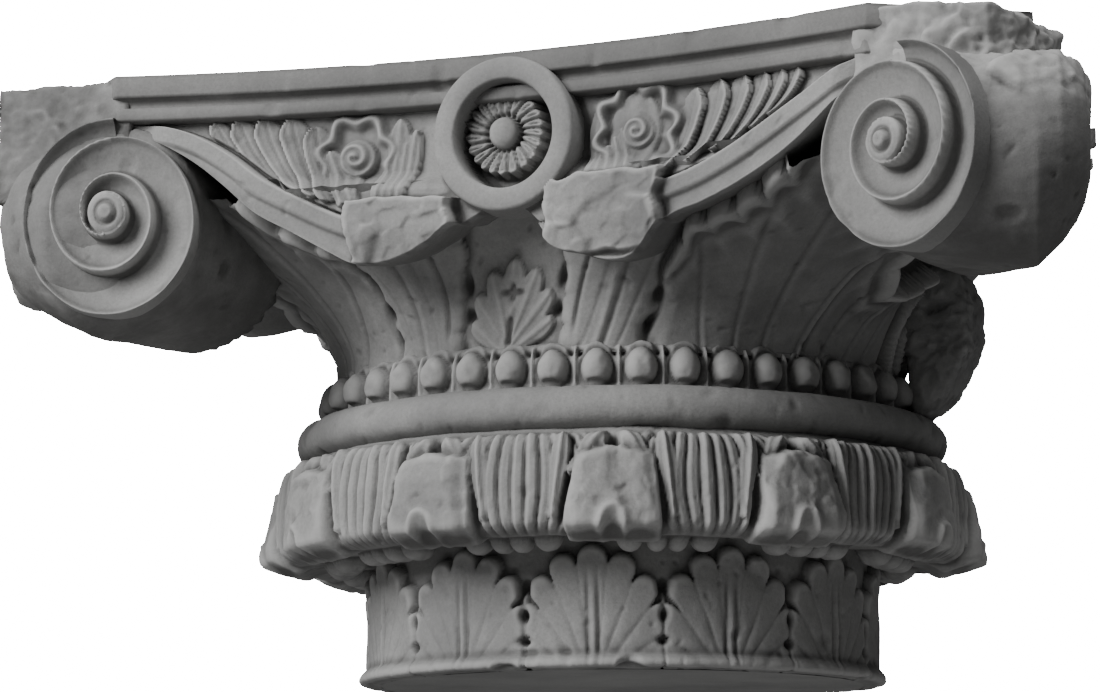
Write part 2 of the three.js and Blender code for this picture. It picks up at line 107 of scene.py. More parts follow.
def noise(points, size, seed=0):
    """Smooth noise from -1 to 1 over points in space, its lattice turned off the axes."""
    q = np.asarray(points, float) @ TURN / size + 0.37 * seed
    i = np.floor(q).astype(np.int64)
    f = q - i
    f = f * f * (3 - 2 * f)
    total = 0.0
    for dx in (0, 1):
        wx = f[..., 0] if dx else 1 - f[..., 0]
        for dy in (0, 1):
            wy = f[..., 1] if dy else 1 - f[..., 1]
            for dz in (0, 1):
                wz = f[..., 2] if dz else 1 - f[..., 2]
                corner = lattice(i[..., 0] + dx, i[..., 1] + dy, i[..., 2] + dz, seed)
                total = total + wx * wy * wz * corner
    return total


def fractured(points, size, seed=0):
    """Broken stone: flat facets, each with its own level and tilt, with soft steps between them."""
    q = np.asarray(points, float) @ TURN / size + 0.37 * seed
    cell = np.floor(q).astype(int)
    total, weight = 0.0, 1e-9
    for step in np.ndindex(3, 3, 3):
        spot = cell + np.array(step) - 1
        dice = [lattice(*np.moveaxis(spot, -1, 0), seed + 31 * n) for n in range(4)]
        away = q - (spot + 0.5 + 0.38 * np.stack(dice[:3], -1))
        near = np.exp(-16 * (away ** 2).sum(-1))
        tilt = np.stack(dice[1:], -1)
        total = total + near * (0.55 * dice[3] + 0.9 * (away * tilt).sum(-1))
        weight = weight + near
    return 0.4 + 0.62 * total / weight


def smooth(a, b, x):
    """A soft step from 0 at a to 1 at b."""
    t = np.clip((x - a) / (b - a), 0, 1)
    return t * t * (3 - 2 * t)


def bump(x, centre, width):
    """A soft ridge of height 1."""
    return np.exp(-((x - centre) / width) ** 2)


def spread(x, y):
    """Two arrays as points with a third coordinate of 0."""
    x, y = np.broadcast_arrays(x, y)
    return np.stack([x, y, np.zeros_like(x)], -1)


def polyline(points, count):
    """Evenly spaced points along a line of [radius, height] corners, and the outward normals."""
    points = np.array(points, float)
    length = np.concatenate([[0], np.cumsum(np.hypot(*np.diff(points, axis=0).T))])
    t = np.linspace(0, length[-1], count)
    line = np.stack([np.interp(t, length, points[:, k]) for k in (0, 1)], 1)
    for _ in range(2):
        line[1:-1] = 0.25 * line[:-2] + 0.5 * line[1:-1] + 0.25 * line[2:]
    tangent = np.gradient(line, axis=0)
    tangent /= np.hypot(*tangent.T)[:, None]
    return line, np.stack([tangent[:, 1], -tangent[:, 0]], 1)


def curve(x, points):
    """Height of a smooth line through [x, y] points."""
    px, py = np.array(sorted(points), float).T
    slope = np.gradient(py, px)
    i = np.clip(np.searchsorted(px, x) - 1, 0, len(px) - 2)
    step = px[i + 1] - px[i]
    t = np.clip((x - px[i]) / step, 0, 1)
    start = (1 + 2 * t) * (1 - t) ** 2 * py[i] + t * (1 - t) ** 2 * step * slope[i]
    return start + t * t * (3 - 2 * t) * py[i + 1] - t * t * (1 - t) * step * slope[i + 1]


def azimuths(columns):
    """Angles from the front round the stone, closer together where it is seen most."""
    fine = np.linspace(-180, 180, 3601)
    weight = 0.3 + 1.2 * smooth(-138, -122, fine) * (1 - smooth(124, 138, fine))
    weight = weight + 1.7 * smooth(-95, -75, fine) * (1 - smooth(118, 130, fine))
    total = np.concatenate([[0], np.cumsum(0.5 * (weight[1:] + weight[:-1]))])
    return np.interp(np.arange(columns) / columns, total / total[-1], fine)


def sector(azimuth, first, step):
    """Which repeat each angle is in, and how far it is from that repeat's middle."""
    k = np.floor((azimuth - first) / step + 0.5)
    return k.astype(int), azimuth - first - k * step


def finger(x, y, foot, tip, width, swell=0.62):
    """One finger of a carved leaf, from 0 to 1: a long lobe with a raised vein and a rolled rim."""
    (ax, ay), (bx, by) = foot, tip
    dx, dy = bx - ax, by - ay
    length = (dx * dx + dy * dy) ** 0.5
    t = ((x - ax) * dx + (y - ay) * dy) / length ** 2
    d = np.abs((x - ax) * dy - (y - ay) * dx) / length
    narrow = 0.5 + 0.5 * np.clip(t, 0, swell) / swell
    end = np.sqrt(np.clip(1 - (np.clip(t - swell, 0, 1) / (1 - swell)) ** 2, 0, 1))
    u = d / np.maximum(width * narrow * end, 0.3)
    body = np.sqrt(np.clip(1 - u ** 4, 0, 1))
    shaped = body * (1 - 0.3 * np.sin(pi * np.clip(u, 0, 1)) ** 2)
    return np.where((t > -0.1) & (t < 1), shaped, 0)


def topmost(*heights):
    """The highest of several heights at each place."""
    result = heights[0]
    for height in heights[1:]:
        result = np.maximum(result, height)
    return result


# Meshes from skins of quads

def flat_back(points, sink):
    """Brings what lies behind the stone's flat back onto that rough plane."""
    plane = BACK - sink + 0.8 * noise(points, 42, 81) + 0.3 * noise(points, 11, 82)
    return np.stack([points[..., 0], np.minimum(points[..., 1], plane), points[..., 2]], -1)


class Skin:
    """Quads in millimetres, gathered from grids, that become one object."""

    def __init__(self, sink):
        self.sink = sink
        self.points = []
        self.faces = []
        self.soil_and_shade = []
        self.count = 0

    def grid(self, points, around=False, flip=False, soil_and_shade=None, tone_shift=0.0):
        across, along = points.shape[:2]
        points = flat_back(points, self.sink)
        index = np.arange(across * along).reshape(across, along) + self.count
        here = index if around else index[:-1]
        following = np.roll(index, -1, 0) if around else index[1:]
        quads = np.stack([here[:, :-1], following[:, :-1], following[:, 1:], here[:, 1:]], -1)
        quads = quads.reshape(-1, 4)
        self.faces.append(quads[:, ::-1] if flip else quads)
        self.points.append(points.reshape(-1, 3))
        # soil_and_shade: grime with painted shade in the hollows, plus the part's flat tone shift
        soil_and_shade_tone = tone_shift + (np.zeros((across, along)) if soil_and_shade is None else soil_and_shade)
        self.soil_and_shade.append(np.where(points[..., 1] > BACK - 3, 0.1, soil_and_shade_tone).reshape(-1))
        self.count += across * along

    def build(self, name):
        points = np.concatenate(self.points) * 0.001
        quads = np.concatenate(self.faces)
        mesh = bpy.data.meshes.new(name)
        mesh.vertices.add(len(points))
        mesh.vertices.foreach_set("co", points.astype(np.float32).ravel())
        mesh.loops.add(quads.size)
        mesh.loops.foreach_set("vertex_index", quads.astype(np.int32).ravel())
        mesh.polygons.add(len(quads))
        mesh.polygons.foreach_set("loop_start", np.arange(0, quads.size, 4, dtype=np.int32))
        mesh.update(calc_edges=True)
        mesh.validate()
        mesh.polygons.foreach_set("use_smooth", np.ones(len(mesh.polygons), bool))
        normals = np.zeros(len(points) * 3, np.float32)
        mesh.vertex_normals.foreach_get("vector", normals)
        # Painted shade: faces that look downward are darkened, on top of the grime and shade in the hollows
        under = 0.45 * smooth(0.25, 0.95, -normals.reshape(-1, 3)[:, 2])
        layer = mesh.attributes.new("soil_and_shade", "FLOAT", "POINT")
        layer.data.foreach_set("value", (np.concatenate(self.soil_and_shade) + under).astype(np.float32))
        made = bpy.data.objects.new(name, mesh)
        bpy.context.collection.objects.link(made)
        return made


def hollows(height, size=5):
    """How far each place of a grid of heights lies below its surroundings, in millimetres."""
    def blur(a, axis):
        pad = [(0, 0)] * a.ndim
        pad[axis] = (size + 1, size)
        total = np.cumsum(np.pad(a, pad, mode="edge"), axis=axis)
        n = a.shape[axis]
        low = np.take(total, np.arange(n), axis=axis)
        high = np.take(total, np.arange(n) + 2 * size + 1, axis=axis)
        return (high - low) / (2 * size + 1)
    soft = blur(blur(height, 0), 1)
    # Skins are darkened with this: grime and painted shade in the hollows, paler on the ridges
    return np.clip((soft - height) / 4.0, -1, 2)


def weather(points, amount=1.0, seed=3):
    """The worn skin: slow waves, grain and a few pits, as a height in millimetres."""
    waves = 0.9 * noise(points, 46, seed) + 0.45 * noise(points, 17, seed + 1)
    grain = 0.22 * noise(points, 5.5, seed + 2)
    pits = np.clip(noise(points, 9, seed + 3) - 0.62, 0, 1) * 5
    dents = np.clip(noise(points, 28, seed + 4) - 0.66, 0, 1) * 9
    return amount * (waves + grain - pits - dents)


def swept(skin, profile, rows, columns, relief, seed, amount=1.0):
    """A band swept round the axis; relief(azimuth, line, z) gives its height."""
    azimuth = azimuths(columns)
    line, normal = polyline(profile, rows)
    a = np.radians(azimuth)[:, None]
    radius, height = line[None, :, 0], line[None, :, 1]
    direction = np.stack([np.sin(a) + 0 * radius, -np.cos(a) + 0 * radius], -1)
    size = direction.shape[:2]
    level = np.broadcast_to(height[..., None], size + (1,))
    base = np.concatenate([direction * radius[..., None], level], -1)
    upward = np.broadcast_to(normal[None, :, 1:], size + (1,))
    outward = np.concatenate([direction * normal[None, :, :1], upward], -1)
    lift = relief(azimuth[:, None], line, np.broadcast_to(height, size))
    lift = lift + weather(base, amount, seed)
    skin.grid(base + outward * lift[..., None], around=True, soil_and_shade=hollows(lift))


# Lower bands

def palm_leaf(x, y):
    """A fan of rounded fingers parted by fine grooves, as a height in millimetres."""
    turn = np.degrees(np.arctan2(np.abs(x), y + 18))
    reach = np.hypot(x, y + 18)
    best = 0 * x
    fingers = (
        (0, 7.5, 129), (14.5, 7, 124.5), (29, 7.5, 114), (45.5, 9, 102), (64, 9.5, 87), (83, 9.5, 69),
    )
    for middle, half, tip in fingers:
        v = (turn - middle) / half
        round_tip = np.sqrt(np.clip(1 - v * v, 0, 1))
        rim = tip - tip * radians(half) * (1 - round_tip)
        crown = np.sqrt(1 - (1 - np.clip((rim - reach) / 7, 0, 1)) ** 2)
        groove = 2.6 * (round_tip - 1) * smooth(14, 55, reach)
        hollow = -1.5 * (1 - v * v) * smooth(50, 90, reach) * smooth(tip - 6, tip - 26, reach)
        best = np.where(np.abs(v) <= 1, (11 + groove + hollow) * crown, best)
    return best


def neck_relief(azimuth, line, z):
    """Twelve upright leaves of rounded fingers, with drilled eyelets between neighbours."""
    k, offset = sector(azimuth, LEAF_STEP / 2, LEAF_STEP)
    x = np.radians(offset) * NECK_RADIUS + 0 * z
    y = z - 3
    x = x + 2.2 * noise(spread(x * 0 + k * 37.0, y), 34, 5)
    leaf = palm_leaf(x, y + 1.5 * noise(spread(x + k * 51.0, y), 30, 6))
    side = np.abs(x)
    stem = smooth(96, 60, y) * smooth(0, 12, y)
    leaf = leaf + stem * (1.0 * bump(side, 0, 2.0) - 2.8 * bump(side, 5.0, 1.7))
    leaf = leaf * (0.84 + 0.28 * np.clip(y / 112, 0, 1) ** 2)
    seat = 65.4
    touching = smooth(62, 65.5, side) * smooth(74, 66, y)
    leaf = np.where(touching > 0, np.maximum(leaf, 7.5 * touching), leaf)
    seam = bump(side, seat, 1.5) * 3 * smooth(76, 60, y)
    eye = bump(side, seat, 5) * (bump(y, 22, 3.2) + bump(y, 71, 7))
    eye = 12 * (eye + bump(side, seat, 3.6) * bump(y, 46, 5.5))
    ground = -12 * smooth(5, 16, z)
    chip = np.clip(noise(spread(azimuth * 4.4 + 0 * z, z), 21, 77) - 0.5, 0, 1) * 16 * smooth(30, 6, z)
    chip = chip * smooth(238, 246, line[None, :, 0])
    return ground + leaf * smooth(-3, 6, y) - seam - eye - chip


def tip_relief(azimuth, z, reach):
    """Hanging lobed tips under the ring: two side lobes and a double middle one."""
    _, offset = sector(azimuth, 0, LEAF_STEP)
    x = np.radians(offset) * (NECK_RADIUS + 12)
    lobes = topmost(*(
        np.sqrt(np.clip(1 - ((x - c) / w) ** 2 - ((reach - 3) / h) ** 2, 0, 1))
        for c, w, h in ((-9, 10, 17), (9, 10, 17), (-33, 12, 15), (33, 12, 15))
    ))
    return lobes


def ring_relief(azimuth, line, z):
    """Gathered folds between twelve broken bosses."""
    k, offset = sector(azimuth, 5.0, LEAF_STEP)
    x = np.radians(offset) * RING_RADIUS
    level = (z - RING_FOOT) / RING_RISE
    outer = smooth(300, 316, line[None, :, 0]) * smooth(1.04, 0.9, level)
    face = smooth(0.0, 0.12, level) * smooth(1.02, 0.9, level)
    bowed = x / (1 - 0.3 * (2 * np.clip(level, 0, 1) - 1) ** 2) + 5 * np.sin(k * 1.9) * (level - 0.5)
    bowed = bowed + 2.4 * noise(spread(x * 0.6 + 91.0 * k, z * 0.35), 22, 31)
    count = bowed / (13.0 + 1.5 * np.sin(k * 2.7))
    ridge = np.abs(np.cos(pi * count)) ** 0.55
    high = 6.2 + 1.6 * np.sin(2.1 * np.floor(count + 0.5) + k)
    second = 1.8 * np.abs(np.cos(pi * (count * 2 + 0.28))) ** 0.5
    gather = 7 * np.sqrt(np.clip(1 - (x / 62) ** 2, 0, 1))
    pleats = high * ridge + second + gather - 5
    m, gap = sector(azimuth, 20.0, LEAF_STEP)
    b = np.radians(gap) * RING_RADIUS
    shape = 4.0 * noise(spread(b * 0 + 77.0 * m, z), 24, 47)
    half = 35 + 7 * smooth(0.75, 0.05, level) + 2 * np.sin(m * 3.1)
    block = smooth(half + 2.5, half - 1.5, np.abs(b + shape)) * smooth(-0.14, 0.0, level)
    block = block * smooth(0.86, 0.76, level + 0.002 * np.abs(b))
    place = np.stack(np.broadcast_arrays(b + 130.0 * m, z, 3.0 * m), -1)
    broken = 18 + 5.5 * fractured(place, 40, 40) + 2.2 * fractured(place, 13, 41)
    broken = broken - 5 * smooth(0.3, 0.85, level)
    broken = broken + 4 * smooth(0.5, 0.05, level) - 5 * smooth(half - 12, half, np.abs(b))
    arch = 5 * bump(np.hypot(b / 11, (level - 0.08) / 0.15), 1, 0.3)
    arch = arch - 9 * bump(np.hypot(b / 8, (level - 0.04) / 0.11), 0, 0.8)
    groove = -10 * bump(np.abs(b + shape), half + 4.5, 3.0)
    groove = groove * smooth(0.0, 0.2, level) * smooth(1.0, 0.9, level)
    tips = topmost(
        12 * finger(np.abs(b), z, (36, 170), (6, 207), 10.0),
        13 * finger(np.abs(b), z, (52, 136), (44, 205), 9.0),
    )
    notch = -9 * smooth(8, 3, np.abs(b)) * smooth(0.78, 0.84, level) * smooth(1.0, 0.92, level)
    carved = pleats * (1 - block) + (broken + arch) * block + groove
    carved = np.maximum(carved, np.where(tips > 1, tips, -20) * (1 - block)) + notch
    under = smooth(310, 296, line[None, :, 0]) * smooth(0.3, 0.0, level)
    drop = 14 * tip_relief(azimuth, z, np.abs(line[None, :, 0] - 268)) * under
    lower = 5 * block * smooth(0.08, -0.05, level) * smooth(290, 306, line[None, :, 0])
    carved = carved * np.maximum(outer, 0) * smooth(0.0, 0.05, outer) * (0.25 + 0.75 * face)
    return carved + drop + lower


def torus_relief(azimuth, line, z):
    """A few nicks in the plain round moulding."""
    nick = np.clip(noise(spread(azimuth * 5.4 + 0 * z, z), 19, 88) - 0.6, 0, 1) * 7
    return -nick


def egg_relief(azimuth, line, z):
    """Round eggs in hollows, with thin fillets between and drilled corners above."""
    step = 360 / EGGS
    k, offset = sector(azimuth, 0.5, step)
    x = np.radians(offset) * EGG_RADIUS
    half = radians(step) * EGG_RADIUS / 2
    middle = 268.5 + 0.7 * np.sin(k * 5.1)
    q = (x / (15.4 + 0.7 * np.sin(k * 2.9))) ** 2 + ((z - middle) / 17.5) ** 2
    egg = 17 * np.sqrt(np.clip(1 - q, 0, 1))
    cup = 2.0 * bump(np.sqrt(q), 1.24, 0.10) * smooth(256, 266, z)
    fillet = 4.5 * bump(np.abs(x), half, 2.0) * smooth(292, 284, z)
    drilled = 8 * bump(np.abs(x), half - 4.5, 3.2) * bump(z, 284, 4.0)
    wave = np.cos(2 * pi * x / (2 * half) + 0.8 * np.sin(k * 1.3))
    hooks = 2.6 * bump(z, 290, 3.5) * (0.5 + 0.5 * wave)
    worn = 1.6 * np.clip(noise(spread(x + 40.0 * k, z), 9, 78), 0, 1)
    band = smooth(250, 254, z) * smooth(300, 292, z)
    return band * (topmost(egg, cup, fillet) - drilled + hooks - worn)


# Bell

def bell_out(azimuth, z):
    """Radius of the bell: upright over the faces and flaring to the front corners."""
    rise = np.clip((z - BELL_FOOT) / BELL_RISE, 0, 1.1)
    corner = np.abs(np.sin(np.radians(azimuth) * 2)) ** 2.2
    corner = corner * (1 - 0.75 * smooth(93, 112, np.abs(azimuth)))
    return BELL_RADIUS + 48 * rise ** 1.4 + 142 * corner * rise ** 1.9


def corner_leaf(turn, z, along, top):
    """Broad smooth leaf under a volute, whose lobed upper edge curls out below the band."""
    u = turn / 29.5
    inside = smooth(1.0, 0.95, np.abs(u + 0.02 * np.sin(z * 0.11)))
    lobes = np.abs(np.sin(pi * along / 29)) ** 0.6
    edge = top - 7 + 6 * lobes
    under = smooth(edge + 1.5, edge - 2.5, z)
    roll = 20 * smooth(edge - 50, edge - 2, z) ** 2
    crease = -5 * (1 - lobes) ** 2 * smooth(edge - 22, edge - 8, z)
    crease = crease + 5 * lobes * bump(z, edge - 6, 4) - 4 * bump(z, edge - 17, 4)
    climb = np.clip((z - BELL_FOOT) / 110, 0, 1.2)
    lean = u - 0.05 - 0.10 * climb ** 2
    midrib = 1.6 * bump(lean, 0, 0.012) - 3.0 * bump(lean, 0.035, 0.014)
    midrib = midrib - 1.4 * bump(lean, -0.03, 0.014)
    veins = 0
    for first in (-0.78, -0.52, -0.27, 0.3, 0.55, 0.8):
        bent = u - first * (0.82 + 0.3 * climb)
        veins = veins - 1.4 * bump(bent, 0, 0.012) + 0.8 * bump(bent, 0.03, 0.02)
    flute = 1.3 * np.cos(u * 12) + 5 * (1 - u ** 2)
    side = -6 * smooth(0.86, 1.0, np.abs(u))
    body = 7 + flute + side + (midrib + veins) * smooth(edge - 4, edge - 34, z) + roll + crease
    return inside * under * body - 8 * inside * (1 - under), inside


def low_leaf(x, y):
    """Low lobed leaf over the middle of a face."""
    side = np.abs(x)
    parts = topmost(
        finger(side, y, (0, 10), (0, 82), 12), finger(side, y, (3, 14), (22, 72), 11),
        finger(side, y, (5, 8), (36, 52), 11), finger(side, y, (6, 0), (40, 28), 10),
    )
    slit = 8 * bump(x, 0, 2.2) * smooth(2, 8, y) * smooth(34, 26, y)
    star = np.maximum(bump(x, 0, 2.5) * bump(y, 52, 7.5), bump(x, 0, 7.5) * bump(y, 52, 2.5))
    return 6 * parts - slit - 13 * star


def tall_leaf(x, y):
    """Broad leaf beside the low one that rises to a broken tip, with a lobed outer edge."""
    middle = 86 + 0.12 * y
    lobes = np.abs(np.sin(pi * (y + 6) / 27)) ** 0.6
    half = np.where(x > middle, 34 + 7 * lobes + 0.10 * y, 34 + 4 * lobes + 0.16 * y)
    u = (x - middle) / half
    body = 10 * np.sqrt(np.clip(1 - u ** 4, 0, 1)) + 6 * smooth(40, 120, y)
    fold = -3.5 * bump(x, 62 + 0.0022 * (y - 20) ** 2, 2.0) * smooth(6, 30, y) * smooth(112, 88, y)
    rib = 1.6 * bump(x, middle - 3 + 0.05 * y, 3.2) - 1.8 * bump(x, middle + 4 + 0.05 * y, 2.2)
    veins = -0.9 * bump(x, middle + 17 + 0.12 * y, 1.8) - 0.8 * bump(x, middle - 15 + 0.1 * y, 1.6)
    return np.where(np.abs(u) < 1, body + (fold + rib + veins) * smooth(1.0, 0.8, np.abs(u)), 0)


def torn_leaf(azimuth, y):
    """Twisted edges of the torn leaf on the right side."""
    x = (azimuth - 92) * 4.7
    total = -16 * smooth(-42, -34, x) * smooth(44, 30, x) * smooth(0, 14, y)
    for path, high in (
        ([(-5, -16), (20, -26), (45, -32), (70, -24), (92, -2), (130, 20)], 24),
        ([(-5, -2), (18, -6), (40, -12), (66, -2), (84, 14), (130, 26)], 26),
        ([(-5, 22), (14, 12), (36, 8), (60, 18), (90, 30), (130, 34)], 30),
    ):
        d = x - curve(y, path)
        total = topmost(total, high * np.exp(-(np.abs(d) / np.where(d > 0, 9, 3.5)) ** 1.4) - 8)
    return total * smooth(130, 112, y)


def bell_relief(azimuth, z, base):
    """Leaves of the bell: one low and two tall over each face, and a broad one at each corner."""
    y = z - BELL_FOOT
    front = np.abs(azimuth) < 48
    x = np.radians(np.where(front, azimuth + 1.5, np.abs(azimuth) - 90)) * 270
    along = np.where(front, base[..., 0] - TOP_SHIFT, base[..., 1])
    band = np.where(front, band_lower(along, False), band_lower(along, True))
    middle_of_leaf = np.where(azimuth < 0, 59.0, 55.5)
    leaf, inside = corner_leaf(np.abs(azimuth) - middle_of_leaf, z, along, band + 24)
    side = np.abs(x)
    middle = topmost(low_leaf(x, y), tall_leaf(side, y))
    holes = bump(y, 20, 9) + bump(y, 47, 8) + bump(y, 75, 11) + bump(y, 103, 7)
    gap = 14 * bump(side, 126 + 0.12 * y, 5) * holes
    gap = gap + 12 * bump(side, 40 + 0.1 * y, 4) * (bump(y, 62, 8) + 0.8 * bump(y, 34, 5))
    relief = np.where(inside > 0.05, np.maximum(leaf, middle * (1 - inside)), middle)
    relief = relief - gap * (1 - inside) + 2
    torn = smooth(83, 85, azimuth) * smooth(114, 110, azimuth)
    return relief * (1 - torn) + torn * torn_leaf(azimuth, y)


def bell_skin(skin, rows, columns):
    """The bell from the eggs up to the bands, leaning over to the middle of the abacus."""
    azimuth = azimuths(columns)
    z = np.linspace(284, 446, rows)
    radius = bell_out(azimuth[:, None], z[None, :])
    a = np.radians(azimuth)[:, None]
    lean = TOP_SHIFT * np.clip((z[None, :] - BELL_FOOT) / BELL_RISE, 0, 1)
    base = np.stack([np.sin(a) * radius + lean, -np.cos(a) * radius, z[None, :] + 0 * radius], -1)
    along = np.gradient(base, axis=1)
    across = np.roll(base, -1, 0) - np.roll(base, 1, 0)
    normal = np.cross(across, along)
    normal /= np.linalg.norm(normal, axis=-1)[..., None]
    lift = bell_relief(azimuth[:, None] + 0 * radius, z[None, :] + 0 * radius, base)
    lift = lift + weather(base, 1.0, 21)
    skin.grid(base + normal * lift[..., None], around=True, soil_and_shade=hollows(lift))


# Places on the concave faces

def face_out(face, s):
    """How far out a concave face is at a distance from its middle."""
    f = FACES[face]
    return f["out"] + f["rise"] * (s / f["reach"]) ** 2


def face_spot(face, s, out, z):
    """A place given along a face, out from the axis and up."""
    a = radians(FACES[face]["turn"])
    s, out, z = np.broadcast_arrays(s, out, z)
    return np.stack([s * cos(a) + out * sin(a) + TOP_SHIFT, s * sin(a) - out * cos(a), z + 0.0], -1)


def on_volute(face, side, a, b, proud=0.0):
    """A place on a volute's disc; a and b go from -1 to 1 across it."""
    reach, height, wide, high, tilt = VOLUTES[face, side]
    out = face_out(face, reach) + tilt * wide * a + proud
    return face_spot(face, side * (reach + wide * a - tilt * proud), out, height + high * b)


# Panels, bands and medallions

# Upper and lower edges of the bands, as [distance from the middle, height]
UPPER_LEFT = [
    (-380, 505), (-337, 501), (-291, 486), (-263, 469), (-235, 447), (-197, 426), (-159, 408),
    (-131, 398), (-60, 388),
]
UPPER_RIGHT = [
    (60, 388), (120, 405), (145, 414), (179, 424), (209, 436), (248, 456), (287, 477), (326, 498),
    (356, 511), (380, 514),
]
LOWER_LEFT = [
    (-380, 494), (-361, 491), (-340, 485), (-312, 471), (-290, 456), (-270, 439), (-244, 415),
    (-206, 393), (-169, 372), (-150, 362), (-105, 362), (-70, 376),
]
LOWER_RIGHT = [
    (45, 366), (70, 356), (130, 356), (154, 380), (189, 392), (228, 407), (267, 427), (284, 438),
    (308, 457), (336, 478), (360, 488), (390, 493),
]


def band_upper(s, even):
    """Height of a band's upper edge; even faces are alike on both sides."""
    if even:
        return curve(np.abs(s), UPPER_RIGHT)
    return np.where(s < 0, curve(s, UPPER_LEFT), curve(s, UPPER_RIGHT))


def band_lower(s, even):
    """Height of a band's lower edge."""
    if even:
        return curve(np.abs(s), [(0, 384), *LOWER_RIGHT])
    return curve(s, [*LOWER_LEFT, (-50, 390), (30, 388), *LOWER_RIGHT])


def medallion(x, y):
    """Plain ring round a deep hollow with a flower of swirling petals and a button."""
    r = np.hypot(x * 1.05, y)
    ring = smooth(72, 68, r) * smooth(48, 51.5, r)
    profile = 9.5 + 0 * r
    turn = np.arctan2(y - 5, x + 7)
    q = np.hypot(x + 7, y - 5)
    petal = np.abs(np.cos(turn * 10.5 + 0.055 * (q - 17) + 0.5 * np.sin(turn * 3)))
    tip = 39 - 2.5 * (1 - petal)
    flower = -19 + 7 * petal ** 0.6 + 3 * bump(q, 30, 8)
    flower = flower * smooth(tip + 1.5, tip - 1.5, q) - 34 * smooth(tip - 1.5, tip + 1.5, q)
    flower = flower - 4 * bump(petal, 1, 0.05) * smooth(21, 27, q) * smooth(38, 33, q)
    button = -13 + 11 * np.sqrt(np.clip(1 - (q / 14.5) ** 2, 0, 1))
    inside = np.where(q < 14.5, button, flower - 4 * bump(q, 16, 2.5))
    return ring, profile, inside, r


def spiral_bud(x, y, size):
    """A round bud wound like a small scroll."""
    r = np.hypot(x, y) / size
    angle = np.arctan2(y, x)
    wound = np.cos(2 * pi * (r * 2.1) - angle)
    dome = 13 * np.sqrt(np.clip(1 - r ** 2, 0, 1))
    return np.where(r < 1, dome + 1.8 * wound * smooth(1, 0.8, r), 0)


def feather(x, y, foot, tip, width, bend):
    """Curved round-ended lobe that rises to a sharp edge on its outer side."""
    dx, dy = tip[0] - foot[0], tip[1] - foot[1]
    length = np.hypot(dx, dy)
    along = ((x - foot[0]) * dx + (y - foot[1]) * dy) / length ** 2
    across = ((x - foot[0]) * dy - (y - foot[1]) * dx) / length
    t = np.clip(along, 0, 1)
    across = across - bend * (4 * t * (1 - t) + 0.5 * t ** 3)
    half = width * (0.4 + 0.6 * t) * np.sqrt(np.clip((1 - t) / 0.16, 0.0, 1))
    u = across * np.sign(bend) / np.maximum(half, 0.3)
    body = 3 + 3.6 * (1 + u) + 2.2 * bump(u, 0.78, 0.16) - 1.6 * bump(u, -0.1, 0.10)
    return np.where((np.abs(u) < 1) & (along > 0) & (along < 1), body, 0)


def left_carving(s, z):
    """Feathers, a cup with a bud and low leaves to the left of the medallion."""
    feathers = [
        ((-236, 446), (-284, 504), 10), ((-222, 440), (-262, 505), 12), ((-203, 432), (-238, 505), 13),
        ((-184, 425), (-212, 504), 14), ((-172, 420), (-188, 494), 13),
    ]
    leaves = [feather(s, z, foot, tip, w, -7) for foot, tip, w in feathers]
    leaves.append(9 * finger(s, z, (-160, 420), (-178, 470), 10))
    x, y = s + 152, z - 461
    r = np.hypot(x, y * 0.9)
    wavy = 33 + 3.5 * np.sin(np.arctan2(y, x) * 7)
    cup = 9 * bump(r, wavy, 5.5) * smooth(-30, -8, y)
    leaves.append(cup)
    leaves.append(spiral_bud(x, y, 19))
    leaves.append(8 * finger(s, z, (-150, 420), (-160, 446), 12))
    for k in range(4):
        leaves.append(8 * finger(s, z, (-128 + 7 * k, 404 + 2 * k), (-122 + 9 * k, 452 + 11 * k), 8))
    leaves.append(7 * finger(s, z, (-116, 418), (-110, 496), 12))
    return topmost(*leaves)


def right_carving(s, z):
    """Feathers, a cup with a bud and low leaves to the right of the medallion."""
    feathers = [
        ((146, 418), (176, 499), 12), ((172, 429), (199, 504), 12), ((192, 439), (222, 506), 12),
        ((211, 447), (242, 507), 11), ((228, 456), (259, 508), 10), ((246, 466), (275, 509), 9),
    ]
    leaves = [feather(s, z, foot, tip, w * 1.05, 7) for foot, tip, w in feathers]
    x, y = s - 121, z - 464
    r = np.hypot(x * 0.95, y * 0.82)
    wavy = 35 + 4 * np.sin(np.arctan2(y, x) * 8)
    leaves.append(12 * bump(r, wavy, 6) * smooth(-44, -14, y))
    leaves.append(6 * finger(s, z, (105, 404), (124, 500), 26))
    leaves.append(spiral_bud(x, y, 17))
    for k in range(4):
        leaves.append(9 * finger(s, z, (92 + 9 * k, 402 + 4 * k), (84 + 7 * k, 448 + 7 * k), 8))
    leaves.append(8 * finger(s, z, (78, 420), (84, 492), 9))
    return topmost(*leaves)


